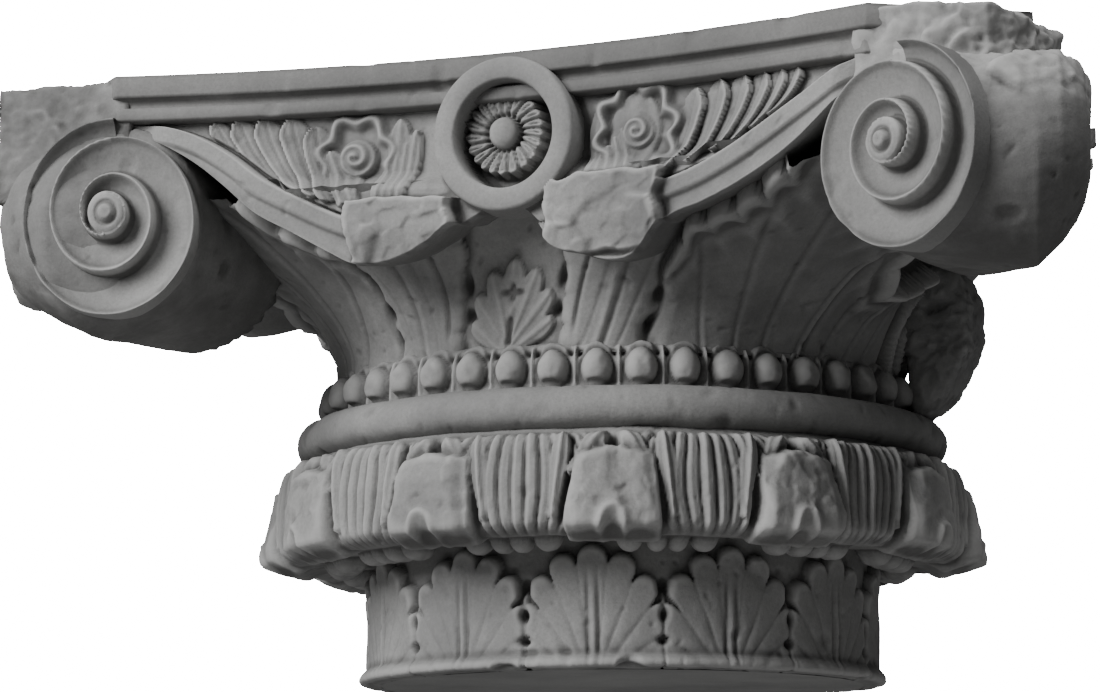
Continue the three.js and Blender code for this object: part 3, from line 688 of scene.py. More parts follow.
def face_relief(face, s, z):
    """Height of a whole face over its concave ground: panel, bands and medallion."""
    even = face != "front"
    upper = band_upper(s, even)
    slope = np.gradient(upper, axis=0) / np.maximum(np.gradient(s, axis=0), 1e-6)
    d = (upper - z) / np.hypot(1, slope)
    panel = -22 + 0.8 * noise(spread(s, z), 14, 61) + 18 * smooth(448, 426, z)
    if even:
        carved = right_carving(np.abs(s), z)
    else:
        carved = np.where(s < 0, left_carving(s, z), right_carving(s, z))
    ground = panel + carved * smooth(0, 4, -d)
    total = smooth(17, 52, (upper - band_lower(s, even)) / np.hypot(1, slope))
    sunk = -20 * smooth(314, 356, np.abs(s))
    width = np.maximum((upper - band_lower(s, even)) / np.hypot(1, slope) - 18, 8)
    t = np.clip((d - 18) / width, 0, 1)
    channel = -5 * np.sin(pi * np.clip(t * 1.04, 0, 1)) ** 0.7 + 2 * smooth(0.86, 1, t)
    fillet = 3.5 * smooth(-0.5, 2.5, d) * smooth(21, 15, d) - 22 * smooth(2.5, -0.5, d)
    bandwork = fillet + channel * total * smooth(14, 20, d) + sunk
    height = np.where(d > -0.5, bandwork, ground)
    ring, profile, inside, r = medallion(s + 1, z - MEDALLION)
    seat = face_out(face, 0 * s) - face_out(face, s)
    height = height * (1 - ring) + (profile + seat) * ring
    height = np.where(r < 49, inside + seat, height)
    return height, r


def broken_bosses(face, s, z, height, r):
    """Stumps of the broken leaf tips on each side under the medallion."""
    if face == "front":
        spots = [(-98, 385, 53, 33, 1), (96, 389, 58, 37, 2)]
    elif face == "left":
        spots = [(-100, 386, 48, 26, 3), (100, 386, 48, 26, 4)]
    else:
        spots = []
    for cx, cz, wide, high, seed in spots:
        q = np.maximum(np.abs(s - cx) / wide, np.abs(z - cz) / high)
        q = q + 0.1 * noise(spread(s, z), 17, 70 + seed)
        on = smooth(1.0, 0.9, q)
        place = spread(s, z)
        stone = 16 + 9 * fractured(place, 46, 50 + seed) + 2.6 * fractured(place, 14, 55 + seed)
        stone = stone - 10 * smooth(cz + 5, cz - high, z)
        height = np.where(r > 70, height * (1 - on) + stone * on, height)
    return height


def face_skin(skin, face, across, rows):
    """The face from its lower edge to the abacus, with an underside that runs back into the stone."""
    limit = FACES[face]["reach"]
    ends = {"front": (-limit, limit), "right": (-limit, BACK + 1), "left": (-BACK - 1, limit)}
    first, last = ends[face]
    s = np.linspace(first, last, across)[:, None]
    v = np.linspace(0, 1, rows)[None, :]
    low = band_lower(s, face != "front")
    if face == "right":
        low = np.maximum(low, LOST_EDGE + 0.2 * s + 5 * noise(spread(s, 0 * s), 24, 71))
    z = low + (SOFFIT + 3 - low) * v
    height, r = face_relief(face, s + 0 * v, z)
    height = broken_bosses(face, s + 0 * v, z, height, r)
    out = face_out(face, s) + height
    points = face_spot(face, s + 0 * v, out, z)
    worn = weather(points, 0.8, 33)
    points = face_spot(face, s + 0 * v, out + worn, z)
    back = np.array([-110.0, -70.0, -40.0, -18.0])
    lift = np.array([26.0, 12.0, 4.0, 0.5])
    under = face_spot(face, s + 0 * back, out[:, :1] + back[None, :], low + lift[None, :])
    soil_and_shade = hollows(height, 4)
    # Painted shade: the underside strip that runs back into the stone is darkened by 0.3
    skin.grid(
        np.concatenate([under, points], 1),
        soil_and_shade=np.concatenate([np.zeros((across, 4)) + 0.3, soil_and_shade], 1),
    )


def back_skin(skin, across, rows):
    """Flat back of the bell and the faces, where the stone is cut off."""
    z = np.linspace(286, SOFFIT + 4, rows)
    x = np.full(rows, 220.0)
    for _ in range(12):
        x = np.sqrt(bell_out(np.degrees(np.arctan2(x, -BACK)), z) ** 2 - BACK ** 2)
    edges = []
    for face, s in (("left", -BACK), ("right", BACK)):
        wall = np.abs(face_spot(face, s, face_out(face, s) - 14, z)[..., 0])
        edges.append(np.where(z > (454 if face == "right" else 376), np.maximum(x, wall), x))
    t = np.linspace(0, 1, across)[:, None]
    width = -edges[0] + (edges[0] + edges[1]) * t
    points = np.stack([width, 0 * width + BACK + 5, 0 * width + z], -1)
    points = points + noise(points, 30, 90)[..., None] * np.array([0, 0.5, 0])
    skin.grid(points)


def medallion_rim(skin, face, steps):
    """Outer wall of the medallion where it stands over the abacus."""
    a = np.linspace(0, 2 * pi, steps, endpoint=False)[:, None]
    rows = [
        (48.5, -34), (49, 0), (49.3, 7), (50.2, 9.6), (52, 10.6), (60, 11), (67, 10.6), (69.4, 9.4),
        (70.4, 7), (70.8, 0), (71, -30),
    ]
    r = np.array([p[0] for p in rows])[None, :]
    out = np.array([p[1] for p in rows])[None, :]
    s = -1 + r * np.cos(a) / 1.04
    points = face_spot(face, s, FACES[face]["out"] + out, MEDALLION + r * np.sin(a))
    points = points + weather(points, 0.6, 35)[..., None] * 0.6
    if face == "right":
        limit = LOST_EDGE + 0.2 * points[..., 1] + 4 * noise(points, 24, 72)
        points[..., 2] = np.maximum(points[..., 2], limit)
    skin.grid(points, around=True, flip=True)


# Abacus

# A flat darker tone for the abacus and the left stump
DARKER_TONE = 0.55


def abacus_outline(inset, columns):
    """Plan of the abacus: its concave front and sides between the broken corners, and the flat back."""
    sides = []
    for face, first, last in (("front", -371, 352), ("right", -318, 190), ("left", -190, 318)):
        s = np.linspace(first, last, columns if face == "front" else columns // 2)
        points = face_spot(face, s * (1 - inset / 700), face_out(face, s) - inset, 0 * s)
        sides.append(points[:, :2])
        if face == "right":
            behind = np.full(columns // 3, 190.0)
            sides.append(np.stack([np.linspace(400, -340, columns // 3), behind], 1))
    return np.concatenate(sides)


def abacus_skin(skin, columns):
    """The moulded edge of the abacus and its rough top bed."""
    profile = [
        (0.0, TOP), (0.5, TOP - 1.5), (0.0, TOP - 4), (0.0, FASCIA + 3), (0.8, FASCIA + 0.5), (3, FASCIA),
        (8, FASCIA - 2), (10.5, 519), (10.5, GROOVE + 1), (8, GROOVE), (4.5, GROOVE), (3.6, GROOVE - 1.5),
        (3.6, SOFFIT + 2), (5, SOFFIT), (12, SOFFIT - 1), (26, SOFFIT - 1), (60, SOFFIT - 1),
        (130, SOFFIT - 1),
    ]
    loops = []
    for inset, z in profile:
        line = abacus_outline(inset, columns)
        loops.append(np.concatenate([line, np.full((len(line), 1), z)], 1))
    side = np.stack(loops, 1)
    chips = np.clip(noise(side, 24, 91) - 0.5, 0, 1) * 12 + np.clip(noise(side, 8, 92) - 0.6, 0, 1) * 5
    centre = np.array([TOP_SHIFT, 0.0, 0.0])
    inward = centre - side
    inward[..., 2] = 0
    inward /= np.linalg.norm(inward, axis=-1)[..., None]
    edge = np.array([1.0 if z > FASCIA - 1 or SOFFIT < z < GROOVE + 2 else 0.2 for _, z in profile])
    side = side + inward * (chips * edge[None, :] + 0.5 * weather(side, 0.7, 36))[..., None]
    skin.grid(side, around=True, flip=True, tone_shift=DARKER_TONE)
    shrink = np.array([1.0, 0.985, 0.96, 0.9, 0.75, 0.5, 0.25, 0.0005])[None, :, None]
    rim = side[:, :1]
    top = centre + (rim - centre) * shrink
    top[..., 2] = TOP
    fall = np.array([0, 1, 1, 1, 1, 1, 1, 1])[None, :]
    top[..., 2] -= fall * (0.6 + np.clip(noise(top, 60, 93), 0, 1) * 1.2)
    skin.grid(top, around=True)


# Worn blocks: rounded convex forms with rough skins

# Block tones, low down and high up: SOILED_AND_SHADED darkens with grime and painted shade, FRESH_AND_LIT
# makes broken stone paler with a painted highlight
CLEAN = (0.0, 0.0)
SOILED_AND_SHADED, FRESH_AND_LIT = 0.5, -0.5


def hull_planes(points):
    """Outward normals and distances of the faces of the hull of some points."""
    points = np.asarray(points, float)
    middle = points.mean(0)
    work = bmesh.new()
    for p in points:
        work.verts.new(Vector(p - middle))
    bmesh.ops.convex_hull(work, input=work.verts)
    bmesh.ops.recalc_face_normals(work, faces=work.faces)
    normals, reaches = [], []
    for f in work.faces:
        n = f.normal
        reach = n.dot(f.verts[0].co)
        if f.calc_area() > 1e-3 and abs(reach) > 1e-3:
            normals.append([*(n if reach > 0 else -n)])
            reaches.append(abs(reach))
    work.free()
    return middle, np.array(normals), np.array(reaches)


def block_skin(skin, points, across, along, roughness, seed, soften=None, clip=None, tone_shift=CLEAN):
    """A block as the hull of some points, worn and broken; tone_shift gives its darker or paler tone low down
    and high up.
    """
    middle, normals, reaches = hull_planes(points)
    a = np.linspace(0, 2 * pi, across, endpoint=False)[:, None]
    b = np.linspace(0.012, pi - 0.012, along)[None, :]
    direction = np.stack([np.sin(b) * np.cos(a), np.sin(b) * np.sin(a), np.cos(b) + 0 * a], -1)
    facing = np.clip(direction @ normals.T / reaches, 1e-6, None)
    if soften:
        radius = 1 / (facing ** soften).sum(-1) ** (1 / soften)
    else:
        radius = 1 / facing.max(-1)
    surface = middle + direction * radius[..., None]
    lift = roughness(surface, seed)
    surface = surface + direction * lift[..., None]
    if clip is not None:
        surface = clip(surface)
    low, high = tone_shift
    # Painted light on some blocks: the low and high tones are blended between 440 and 480 mm
    tone_by_height = low + (high - low) * smooth(440, 480, surface[..., 2])
    skin.grid(surface, around=True, flip=True, soil_and_shade=hollows(lift, 3) + tone_by_height)


def chipped(amount, size):
    """Broken stone all over."""
    def lift(points, seed):
        broad = amount * (fractured(points, size, seed) - 0.6)
        broad = broad + 0.38 * amount * fractured(points, size * 0.34, seed + 3)
        return broad + 0.16 * amount * noise(points, size * 0.13, seed + 6)
    return lift


def dressed(points, seed):
    """Smooth stone, only worn."""
    return weather(points, 1.2, seed)


def chipped_above(amount, size, low, high):
    """Smooth worn stone below and broken stone above."""
    broken = chipped(amount, size)

    def lift(points, seed):
        edge = points[..., 2] + 26 * noise(points, 70, seed + 8)
        on = smooth(low, high, edge)
        return broken(points, seed) * on + dressed(points, seed) * (1 - on)
    return lift


# Volutes

# The lip of a spiral at each quarter turn, as parts of the rim
RIM = (1.0, 1.0, 0.99, 0.96, 0.78, 0.66, 0.55, 0.48, 0.40, 0.29, 0.205)


def rim_at(turns):
    """How far the spiral's lip is from the eye after some turns from the top, as part of the rim."""
    fine = np.linspace(0, 2.5, 251)
    raw = np.interp(fine, np.arange(11) * 0.25, RIM)
    eased = np.convolve(np.pad(raw, 9, mode="edge"), np.ones(19) / 19, mode="valid")
    return np.interp(turns, fine, eased)


def spiral_height(r, tau):
    """Winding lip and scooped channel of a volute, lower at the rim and prouder to the eye."""
    height = 0 * r
    for n in range(3):
        outer, inner = rim_at(tau + n), rim_at(tau + n + 1)
        level = 4 + 8 * np.minimum(tau + n, 2.5)
        following = 4 + 8 * np.minimum(tau + n + 1, 2.5)
        p = np.clip((outer - r) / np.maximum(outer - inner, 0.02), 0, 1)
        lip = 2.4 * np.exp(-((outer - r) * 30) ** 2) + 2.4 * np.exp(-((r - inner) * 50) ** 2)
        scoop = 10.5 * np.sin(0.5 * pi * np.clip(p / 0.82, 0, 1)) ** 0.85
        wall = smooth(0.86, 0.985, p)
        channel = (level - scoop) * (1 - wall) + following * wall + lip
        height = np.where(r <= outer + 1e-6, channel, height)
    eye = smooth(0.225, 0.2, r)
    knob = 24 + 5 * np.sqrt(np.clip(1 - (r / 0.21) ** 2, 0, 1))
    knob = knob + 3.5 * smooth(0.1, 0.06, r) - 2.2 * bump(r, 0.115, 0.02)
    return height * (1 - eye) + knob * eye


def volute_skin(skin, face, side, radial, around, seed, clip=None):
    """The disc of a volute, as a polar grid on its spiral, and the wall behind its rim."""
    tau = np.linspace(0, 1, around)[:, None]
    r = np.linspace(0.004, 1, radial)[None, :] * rim_at(tau)
    x, y = r * np.sin(2 * pi * tau), r * np.cos(2 * pi * tau)
    height = spiral_height(r, tau)
    place = on_volute(face, side, x, y, height)
    chip = np.clip(noise(place, 15, seed) - 0.2, 0, 1) * 7 * smooth(0.9, 1.0, r)
    height = height - chip + 0.6 * weather(place, 0.8, seed + 2)
    front = on_volute(face, side, x, y, height)
    depth = np.array([[-2.0, -8.0, -18.0, -32.0, -50.0]])
    rim = on_volute(face, side, x[:, -1:] + 0 * depth, y[:, -1:], depth)
    edge = 1 + 0.012 * noise(rim, 20, seed + 4)
    grow = np.array([[1.006, 1.012, 1.012, 1.0, 0.98]]) * edge
    wall = on_volute(face, side, x[:, -1:] * grow, y[:, -1:] * grow, depth + height[:, -1:])
    soil_and_shade = np.concatenate([hollows(height, 4), np.zeros((around, 5))], 1)
    points = np.concatenate([front, wall], 1)
    skin.grid(points if clip is None else clip(points), flip=side > 0, soil_and_shade=soil_and_shade, tone_shift=0.25)


def disc_rim(face, side, scale=1.0, proud=0.0, raised=0.0, count=40):
    """Points round a volute's disc, or round one scaled, moved out and raised."""
    a = np.linspace(0, 2 * pi, count, endpoint=False)
    return on_volute(face, side, scale * np.cos(a), scale * np.sin(a) + raised, proud)


def heel_rim(side, radius, count=32):
    """The round heel of a front scroll, deep behind its disc."""
    a = np.linspace(0, 2 * pi, count, endpoint=False)
    reach, height = VOLUTES["front", side][:2]
    out = face_out("front", reach) - 198
    return face_spot("front", side * (reach + 10 + radius * np.cos(a)), out, height - 4 + radius * np.sin(a))


def left_horn():
    """Outline of the left scroll, its outer end worn round."""
    rims = ((-4, 1.0, 0), (-16, 1.1, 0), (-40, 1.2, 0), (-80, 1.28, -0.2))
    worn = [disc_rim("left", 1, scale, proud, raised) for proud, scale, raised in rims]
    return np.concatenate([disc_rim("front", -1, 0.97, -10), heel_rim(-1, 92), *worn])


def right_horn():
    """Outline of the right scroll, which has lost its side disc and ends in a rough nose."""
    rims = ((-6, 1.0, 0), (14, 0.88, 0.10), (26, 0.74, 0.15), (33, 0.6, 0.18), (37, 0.42, 0.2))
    nose = [disc_rim("right", -1, scale, proud, raised) for proud, scale, raised in rims]
    return np.concatenate([disc_rim("front", 1, 0.97, -10), heel_rim(1, 76), *nose])


def left_break(points):
    """Cuts the left corner back to a steep plane, and its upper edge to a slanting one."""
    steep = np.array([-0.978, -0.21, 0.0])
    over = points @ steep - 534 + 2.5 * noise(points, 26, 11) + 1.0 * noise(points, 8, 12)
    points = points - np.clip(over, 0, None)[..., None] * steep
    slanting = np.array([-0.62, -0.10, 0.778])
    over = points @ slanting - 780 + 3 * noise(points, 30, 13)
    return points - np.clip(over, 0, None)[..., None] * slanting


# Shading

class Socket:
    """A node socket that adds Math nodes when it is used in a sum."""

    def __init__(self, tree, socket):
        self.tree = tree
        self.socket = socket

    def join(self, kind, other, swap=False):
        node = self.tree.nodes.new("ShaderNodeMath")
        node.operation = kind
        inputs = node.inputs[0], node.inputs[1]
        first, second = inputs[::-1] if swap else inputs
        self.tree.links.new(self.socket, first)
        if isinstance(other, Socket):
            self.tree.links.new(other.socket, second)
        else:
            second.default_value = other
        return Socket(self.tree, node.outputs[0])

    def __add__(self, other):
        return self.join("ADD", other)

    __radd__ = __add__

    def __mul__(self, other):
        return self.join("MULTIPLY", other)

    __rmul__ = __mul__

    def __sub__(self, other):
        return self.join("SUBTRACT", other)

    def __rsub__(self, other):
        return self.join("SUBTRACT", other, swap=True)

    def at_most(self, other):
        return self.join("MINIMUM", other)


class Shader:
    """Builds a node tree from short calls."""

    def __init__(self, name):
        self.material = bpy.data.materials.new(name)
        self.material.use_nodes = True
        self.tree = self.material.node_tree
        self.tree.nodes.clear()

    def node(self, kind, inputs=None, output=0, **settings):
        made = self.tree.nodes.new(kind)
        for key, value in settings.items():
            setattr(made, key, value)
        for key, value in (inputs or {}).items():
            if isinstance(value, Socket):
                self.tree.links.new(value.socket, made.inputs[key])
            else:
                made.inputs[key].default_value = value
        return Socket(self.tree, made.outputs[output])

    def principled(self, inputs):
        return self.node("ShaderNodeBsdfPrincipled", inputs)

    def finish(self, surface):
        """Connects the surface to the material's output."""
        output = self.tree.nodes.new("ShaderNodeOutputMaterial")
        self.tree.links.new(surface.socket, output.inputs[0])

    def ramp(self, factor, low, high):
        return self.node("ShaderNodeMapRange", {"Value": factor, "From Min": low, "From Max": high})

    def mix(self, factor, a, b):
        made = self.tree.nodes.new("ShaderNodeMix")
        made.data_type = "RGBA"
        for key, value in ((0, factor), (6, a), (7, b)):
            if isinstance(value, Socket):
                self.tree.links.new(value.socket, made.inputs[key])
            elif key == 0:
                made.inputs[key].default_value = value
            else:
                made.inputs[key].default_value = (*value, 1.0)
        return Socket(self.tree, made.outputs[2])


def scaled(colour, share):
    """A colour made lighter or darker."""
    return tuple(min(1, share * c) for c in colour)


def marble_material(stone):
    """Grey clouded marble, darker with grime and painted shade in the hollows and on undersides, and paler on
    rubbed ridges and on broken tops with a painted highlight.
    """
    shader = Shader("carved_marble")
    place = shader.node("ShaderNodeTexCoord", output=3)

    def clouds(scale, detail, roughness):
        return shader.node("ShaderNodeTexNoise", {
            "Vector": place, "Scale": scale, "Detail": detail, "Roughness": roughness,
        })

    broad = clouds(4.5, 6.0, 0.6)
    patches = clouds(15.0, 8.0, 0.62)
    grain = clouds(320.0, 4.0, 0.6)
    specks = clouds(900.0, 2.0, 0.5)
    soil_and_shade = shader.node("ShaderNodeAttribute", output=2, attribute_name="soil_and_shade")
    tone = shader.mix(shader.ramp(broad, 0.35, 0.66), tuple(stone.grey), tuple(stone.pale))
    tone = shader.mix(shader.ramp(patches, 0.5, 0.74) * 0.4, tone, scaled(stone.pale, 1.25))
    tone = shader.mix(shader.ramp(grain, 0.35, 0.7) * 0.25, tone, scaled(stone.grey, 0.6))
    tone = shader.mix(shader.ramp(specks, 0.62, 0.72) * 0.25, tone, scaled(stone.grey, 0.45))
    patchy = shader.ramp(patches, 0.25, 0.6) * 0.4 + 0.6
    # Grime and painted shade: darker in the hollows, on undersides and on the darker-toned parts
    soil_and_shade_mask = (shader.ramp(soil_and_shade, 0.06, 0.9) * patchy * stone.soil_and_shade_strength).at_most(1.0)
    tone = shader.mix(soil_and_shade_mask, tone, tuple(stone.soil_and_shade_tone))
    # Paler where soil_and_shade is below 0: rubbed ridges, and broken tops with a painted highlight
    worn = shader.ramp(0.0 - soil_and_shade, 0.12, 0.9) * 0.45
    tone = shader.mix(worn, tone, scaled(stone.pale, 1.5))
    bumps = grain * 0.5 + specks * 0.3 + patches * 0.8
    normal = shader.node("ShaderNodeBump", {"Strength": 0.45, "Distance": 0.0012, "Height": bumps})
    surface = shader.principled({
        "Base Color": tone, "Normal": normal, "Roughness": stone.roughness, "Specular IOR Level": 0.25,
    })
    shader.finish(surface)
    return shader.material


def finish_piece(skin, name):
    """Makes a skin's object, puts the marble on it and sets it in the frame."""
    piece = skin.build(name)
    marble = bpy.data.materials.get("carved_marble")
    material = marble or marble_material(bpy.context.scene.capital_stone)
    piece.data.materials.append(material)
    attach(piece, "root")
    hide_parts("capital")
    return piece


def fine(count):
    return count


def build_neck():
    skin = Skin(1.0)
    profile = [(232, 0), (244, 3), (249, 9), (250, 18), (250, 60), (250, 96), (250, 120), (252, 128)]
    swept(skin, profile, fine(76), fine(700), neck_relief, 7, 0.9)
    a = np.radians(azimuths(fine(300)))[:, None]
    r = np.array([0.02, 80.0, 160.0, 215.0, 233.0])[None, :]
    skin.grid(np.stack([np.sin(a) * r, -np.cos(a) * r, 0 * a + 0 * r + 0.15], -1), around=True)
    return finish_piece(skin, "capital_neck")


def build_ring():
    skin = Skin(1.5)
    profile = [
        (240, 124), (250, 119), (300, 115), (312, 115), (319, 120), (322, 130), (322, 165),
        (319, 190), (311, 204),
        (300, 212), (290, 214),
    ]
    swept(skin, profile, fine(92), fine(860), ring_relief, 9, 1.0)
    return finish_piece(skin, "capital_ring")


def build_mouldings():
    skin = Skin(2.0)
    torus = [(286, 208), (300, 210.5)]
    for i in range(13):
        a = radians(-80 + 160 * i / 12)
        torus.append((296 + 20 * cos(a), 230.5 + 19.5 * sin(a)))
    torus.append((284, 252))
    swept(skin, torus, fine(22), fine(560), torus_relief, 12, 0.8)
    band = [(298, 247), (284, 250), (279, 254), (278, 282), (276, 288), (270, 292), (262, 295), (252, 297)]
    swept(skin, band, fine(44), fine(960), egg_relief, 14, 0.6)
    return finish_piece(skin, "capital_mouldings")


def build_bell():
    skin = Skin(2.5)
    bell_skin(skin, fine(84), fine(720))
    back_skin(skin, fine(60), fine(30))
    return finish_piece(skin, "capital_bell")


def build_faces():
    skin = Skin(3.0)
    face_skin(skin, "front", fine(440), fine(124))
    medallion_rim(skin, "front", fine(140))
    for face in ("right", "left"):
        face_skin(skin, face, fine(130), fine(44))
        medallion_rim(skin, face, fine(72))
    return finish_piece(skin, "capital_faces")


def build_abacus():
    skin = Skin(0.6)
    abacus_skin(skin, fine(300))
    return finish_piece(skin, "capital_abacus")


def build_volutes():
    skin = Skin(3.5)
    for side in (-1, 1):
        volute_skin(skin, "front", side, fine(80), fine(220), 100 + side)
    volute_skin(skin, "left", 1, fine(30), fine(80), 111, clip=left_break)
    nose = chipped_above(7.5, 44, 442, 478)
    # The right scroll gets painted shade below and a painted highlight on its broken top
    block_skin(skin, right_horn(), fine(180), fine(110), nose, 120, tone_shift=(SOILED_AND_SHADED, FRESH_AND_LIT))
    # The left scroll is darkened all over with grime and painted shade
    block_skin(
        skin, left_horn(), fine(120), fine(80), dressed, 123, clip=left_break, tone_shift=(SOILED_AND_SHADED, SOILED_AND_SHADED),
    )
    return finish_piece(skin, "capital_volutes")


def stump(outline, low):
    """Corners of a broken block from its plan of [x, y, how far its top is down]."""
    return np.array([(x, y, z) for x, y, dip in outline for z in (TOP - dip, low)], float)


def build_breaks():
    skin = Skin(4.0)
    left = [
        (-330, -398, 1), (-400, -412, 3), (-474, -420, 5), (-484, -400, 6), (-484, -300, 4),
        (-350, -250, 2),
    ]
    right = [
        (366, -396, 1), (440, -408, 4), (486, -394, 8), (512, -362, 16), (524, -318, 26),
        (512, -258, 8), (400, -250, 2),
    ]
    block_skin(
        skin, stump(left, 433), fine(150), fine(100), chipped(6, 44), 131, clip=left_break,
        tone_shift=(DARKER_TONE, DARKER_TONE),
    )
    # The right stump is paler: fresh broken stone with a painted highlight
    block_skin(
        skin, stump(right, 440), fine(180), fine(120), chipped(10, 46), 130, tone_shift=(FRESH_AND_LIT, FRESH_AND_LIT),
    )
    hanging = [face_spot("right", s, out, z) for s, out, z in (
        (0, 262, 238), (60, 258, 240), (-2, 298, 262), (66, 294, 262), (-6, 322, 310), (74, 318, 312),
        (-8, 322, 352), (76, 320, 352), (-10, 250, 398), (80, 250, 398), (-8, 312, 388), (74, 310, 388),
    )]
    block_skin(skin, np.array(hanging), fine(110), fine(80), chipped(8, 34), 132, soften=12)
    return finish_piece(skin, "capital_breaks")


def build_stage(look):
    """Pale floor, bright surroundings, a soft key light from the left and one from above."""
    mesh = bpy.data.meshes.new("studio_floor")
    size, level = 14.0, -1.6
    corners = [(x * size, y * size, level) for x, y in ((-1, -1), (1, -1), (1, 1), (-1, 1))]
    mesh.from_pydata(corners, [], [(0, 1, 2, 3)])
    floor = bpy.data.objects.new("studio_floor", mesh)
    bpy.context.collection.objects.link(floor)
    shader = Shader("floor")
    surface = shader.principled({"Base Color": (0.5, 0.5, 0.5, 1), "Roughness": 0.9})
    shader.finish(surface)
    mesh.materials.append(shader.material)
    world = bpy.data.worlds.new("studio")
    world.use_nodes = True
    tree = world.node_tree
    soft = tree.nodes["Background"]
    soft.inputs["Color"].default_value = (1, 1, 1, 1)
    soft.inputs["Strength"].default_value = look.ambient
    bright = tree.nodes.new("ShaderNodeBackground")
    bright.inputs["Strength"].default_value = look.backdrop
    rays = tree.nodes.new("ShaderNodeLightPath")
    mix = tree.nodes.new("ShaderNodeMixShader")
    tree.links.new(rays.outputs["Is Camera Ray"], mix.inputs[0])
    tree.links.new(soft.outputs[0], mix.inputs[1])
    tree.links.new(bright.outputs[0], mix.inputs[2])
    tree.links.new(mix.outputs[0], tree.nodes["World Output"].inputs["Surface"])
    bpy.context.scene.world = world
    for name, spot, extent, power in (
        ("key", (-1.7, -3.3, 1.9), 2.0, look.key_power),
        ("top", (1.2, -0.8, 3.2), 1.0, look.top_power),
    ):
        lamp = bpy.data.lights.new(name, "AREA")
        lamp.energy = power
        lamp.size = extent
        made = bpy.data.objects.new(name, lamp)
        made.location = spot
        aim = Vector((0.03, 0, 0.3)) - Vector(spot)
        made.rotation_euler = aim.to_track_quat("-Z", "Y").to_euler()
        bpy.context.collection.objects.link(made)
    lens = bpy.data.cameras.new("camera")
    lens.lens = 122.0
    lens.sensor_width = 36.0
    lens.clip_end = 60.0
    camera = bpy.data.objects.new("camera", lens)
    camera.location = (1.3136, -3.3518, -0.250)
    heading = Vector((-0.378, 0.912, 0.160))
    camera.rotation_euler = heading.to_track_quat("-Z", "Y").to_euler()
    bpy.context.collection.objects.link(camera)
    bpy.context.scene.camera = camera


# The add-on: settings, operators and panel

class StoneSettings(bpy.types.PropertyGroup):
    """Colours and finish of the marble."""

    grey: bpy.props.FloatVectorProperty(
        name="Grey marble", description="Colour of the darker clouds in the stone", subtype="COLOR", size=3,
        min=0.0, max=1.0, default=(0.20, 0.20, 0.198))
    pale: bpy.props.FloatVectorProperty(
        name="Pale marble", description="Colour of the paler clouds in the stone", subtype="COLOR", size=3,
        min=0.0, max=1.0, default=(0.34, 0.338, 0.332))
    # Colour for grime and for painted shade in the hollows and on undersides
    soil_and_shade_tone: bpy.props.FloatVectorProperty(
        name="Soil", description="Colour of the dirt in the hollows", subtype="COLOR", size=3,
        min=0.0, max=1.0, default=(0.045, 0.044, 0.042))
    soil_and_shade_strength: bpy.props.FloatProperty(
        name="Soiling", description="How much the hollows are darkened", subtype="FACTOR",
        min=0.0, max=1.0, default=0.75)
    roughness: bpy.props.FloatProperty(
        name="Roughness", description="Roughness of the worn skin", subtype="FACTOR",
        min=0.0, max=1.0, default=0.74)


class StageSettings(bpy.types.PropertyGroup):
    """Light of the studio."""

    key_power: bpy.props.FloatProperty(
        name="Key light", description="Power of the soft key light from the front left", unit="POWER",
        min=0.0, default=195.0)
    top_power: bpy.props.FloatProperty(
        name="Top light", description="Power of the light from above", unit="POWER", min=0.0, default=60.0)
    ambient: bpy.props.FloatProperty(
        name="Ambient", description="Strength of the light from all round", min=0.0, default=0.11)
    backdrop: bpy.props.FloatProperty(
        name="Backdrop", description="Brightness of the surroundings behind the stone", min=0.0, default=40.0)


class PieceOperator:
    """Shared parts of the operators that add a piece of the stone."""

    bl_options = {"REGISTER", "UNDO"}
    make = None

    def execute(self, context):
        made = type(self).make()
        if made is None or not len(made.data.polygons):
            raise RuntimeError("the piece has no faces")
        return {"FINISHED"}


class CAPITAL_OT_neck(PieceOperator, bpy.types.Operator):
    """Add the round neck with its twelve upright leaves"""

    bl_idname = "capital.neck"
    bl_label = "Neck"
    make = staticmethod(build_neck)


class CAPITAL_OT_ring(PieceOperator, bpy.types.Operator):
    """Add the ring of gathered folds and broken bosses"""

    bl_idname = "capital.ring"
    bl_label = "Folded Ring"
    make = staticmethod(build_ring)


class CAPITAL_OT_mouldings(PieceOperator, bpy.types.Operator):
    """Add the plain torus and the band of eggs"""

    bl_idname = "capital.mouldings"
    bl_label = "Torus and Eggs"
    make = staticmethod(build_mouldings)


class CAPITAL_OT_bell(PieceOperator, bpy.types.Operator):
    """Add the leafy bell"""

    bl_idname = "capital.bell"
    bl_label = "Bell"
    make = staticmethod(build_bell)


class CAPITAL_OT_faces(PieceOperator, bpy.types.Operator):
    """Add the carved faces with bands, panels and medallions"""

    bl_idname = "capital.faces"
    bl_label = "Faces"
    make = staticmethod(build_faces)


class CAPITAL_OT_abacus(PieceOperator, bpy.types.Operator):
    """Add the moulded abacus and the top bed"""

    bl_idname = "capital.abacus"
    bl_label = "Abacus"
    make = staticmethod(build_abacus)


class CAPITAL_OT_volutes(PieceOperator, bpy.types.Operator):
    """Add the corner scrolls with their spirals"""

    bl_idname = "capital.volutes"
    bl_label = "Volutes"
    make = staticmethod(build_volutes)


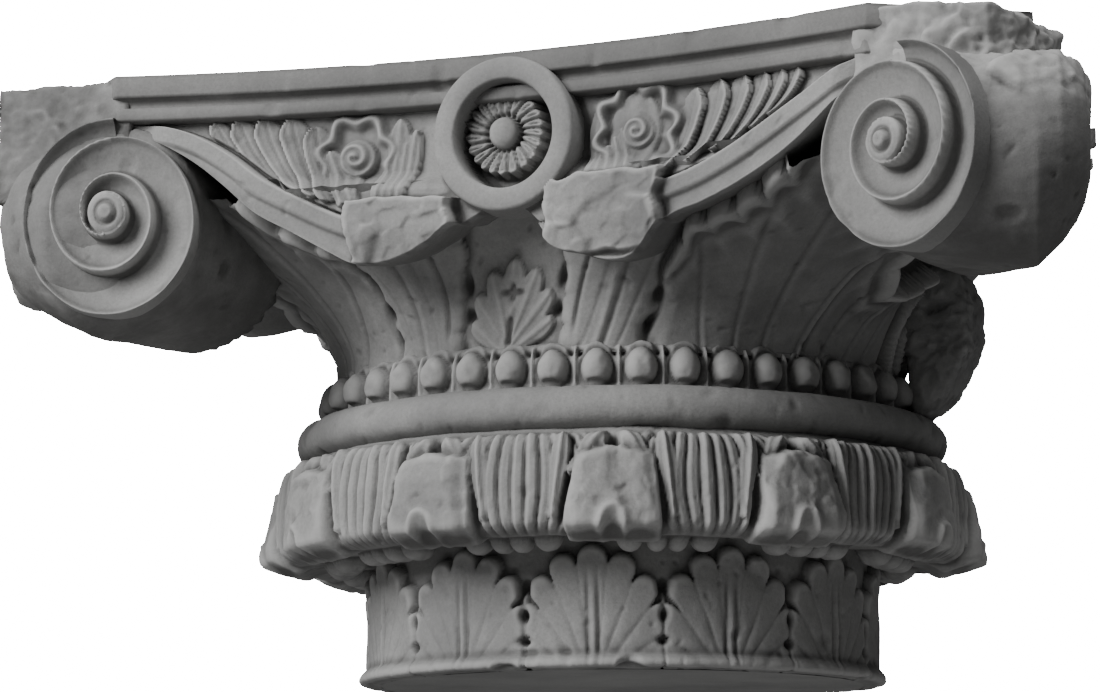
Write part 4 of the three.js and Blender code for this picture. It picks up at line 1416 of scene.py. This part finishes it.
class CAPITAL_OT_breaks(PieceOperator, bpy.types.Operator):
    """Add the broken corners and the torn leaf"""

    bl_idname = "capital.breaks"
    bl_label = "Broken Corners"
    make = staticmethod(build_breaks)


class CAPITAL_OT_stage(bpy.types.Operator):
    """Add the floor, the lights and the camera"""

    bl_idname = "capital.stage"
    bl_label = "Stage"
    bl_options = {"REGISTER", "UNDO"}

    def execute(self, context):
        build_stage(context.scene.capital_stage)
        if context.scene.camera is None:
            raise RuntimeError("the stage has no camera")
        return {"FINISHED"}


class CAPITAL_PT_panel(bpy.types.Panel):
    """Settings and pieces of the capital"""

    bl_label = "Capital"
    bl_idname = "CAPITAL_PT_panel"
    bl_space_type = "VIEW_3D"
    bl_region_type = "UI"
    bl_category = "Capital"

    def draw(self, context):
        layout = self.layout
        for settings in (context.scene.capital_stone, context.scene.capital_stage):
            box = layout.box()
            for name in settings.bl_rna.properties.keys():
                if name not in ("rna_type", "name"):
                    box.prop(settings, name)
        for operator in OPERATORS:
            layout.operator(operator.bl_idname)


OPERATORS = (
    CAPITAL_OT_neck, CAPITAL_OT_ring, CAPITAL_OT_mouldings, CAPITAL_OT_bell, CAPITAL_OT_faces,
    CAPITAL_OT_abacus,
    CAPITAL_OT_volutes, CAPITAL_OT_breaks, CAPITAL_OT_stage,
)
CLASSES = (StoneSettings, StageSettings, *OPERATORS, CAPITAL_PT_panel)


def register():
    for each in CLASSES:
        bpy.utils.register_class(each)
    bpy.types.Scene.capital_stone = bpy.props.PointerProperty(type=StoneSettings)
    bpy.types.Scene.capital_stage = bpy.props.PointerProperty(type=StageSettings)


def unregister():
    del bpy.types.Scene.capital_stone
    del bpy.types.Scene.capital_stage
    for each in reversed(CLASSES):
        bpy.utils.unregister_class(each)


def main():
    register()
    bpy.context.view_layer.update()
    bpy.ops.capital.neck()
    bpy.ops.capital.ring()
    bpy.ops.capital.mouldings()
    bpy.ops.capital.bell()
    bpy.ops.capital.faces()
    bpy.ops.capital.abacus()
    bpy.ops.capital.volutes()
    bpy.ops.capital.breaks()
    bpy.ops.capital.stage()


if __name__ == "__main__":
    main()
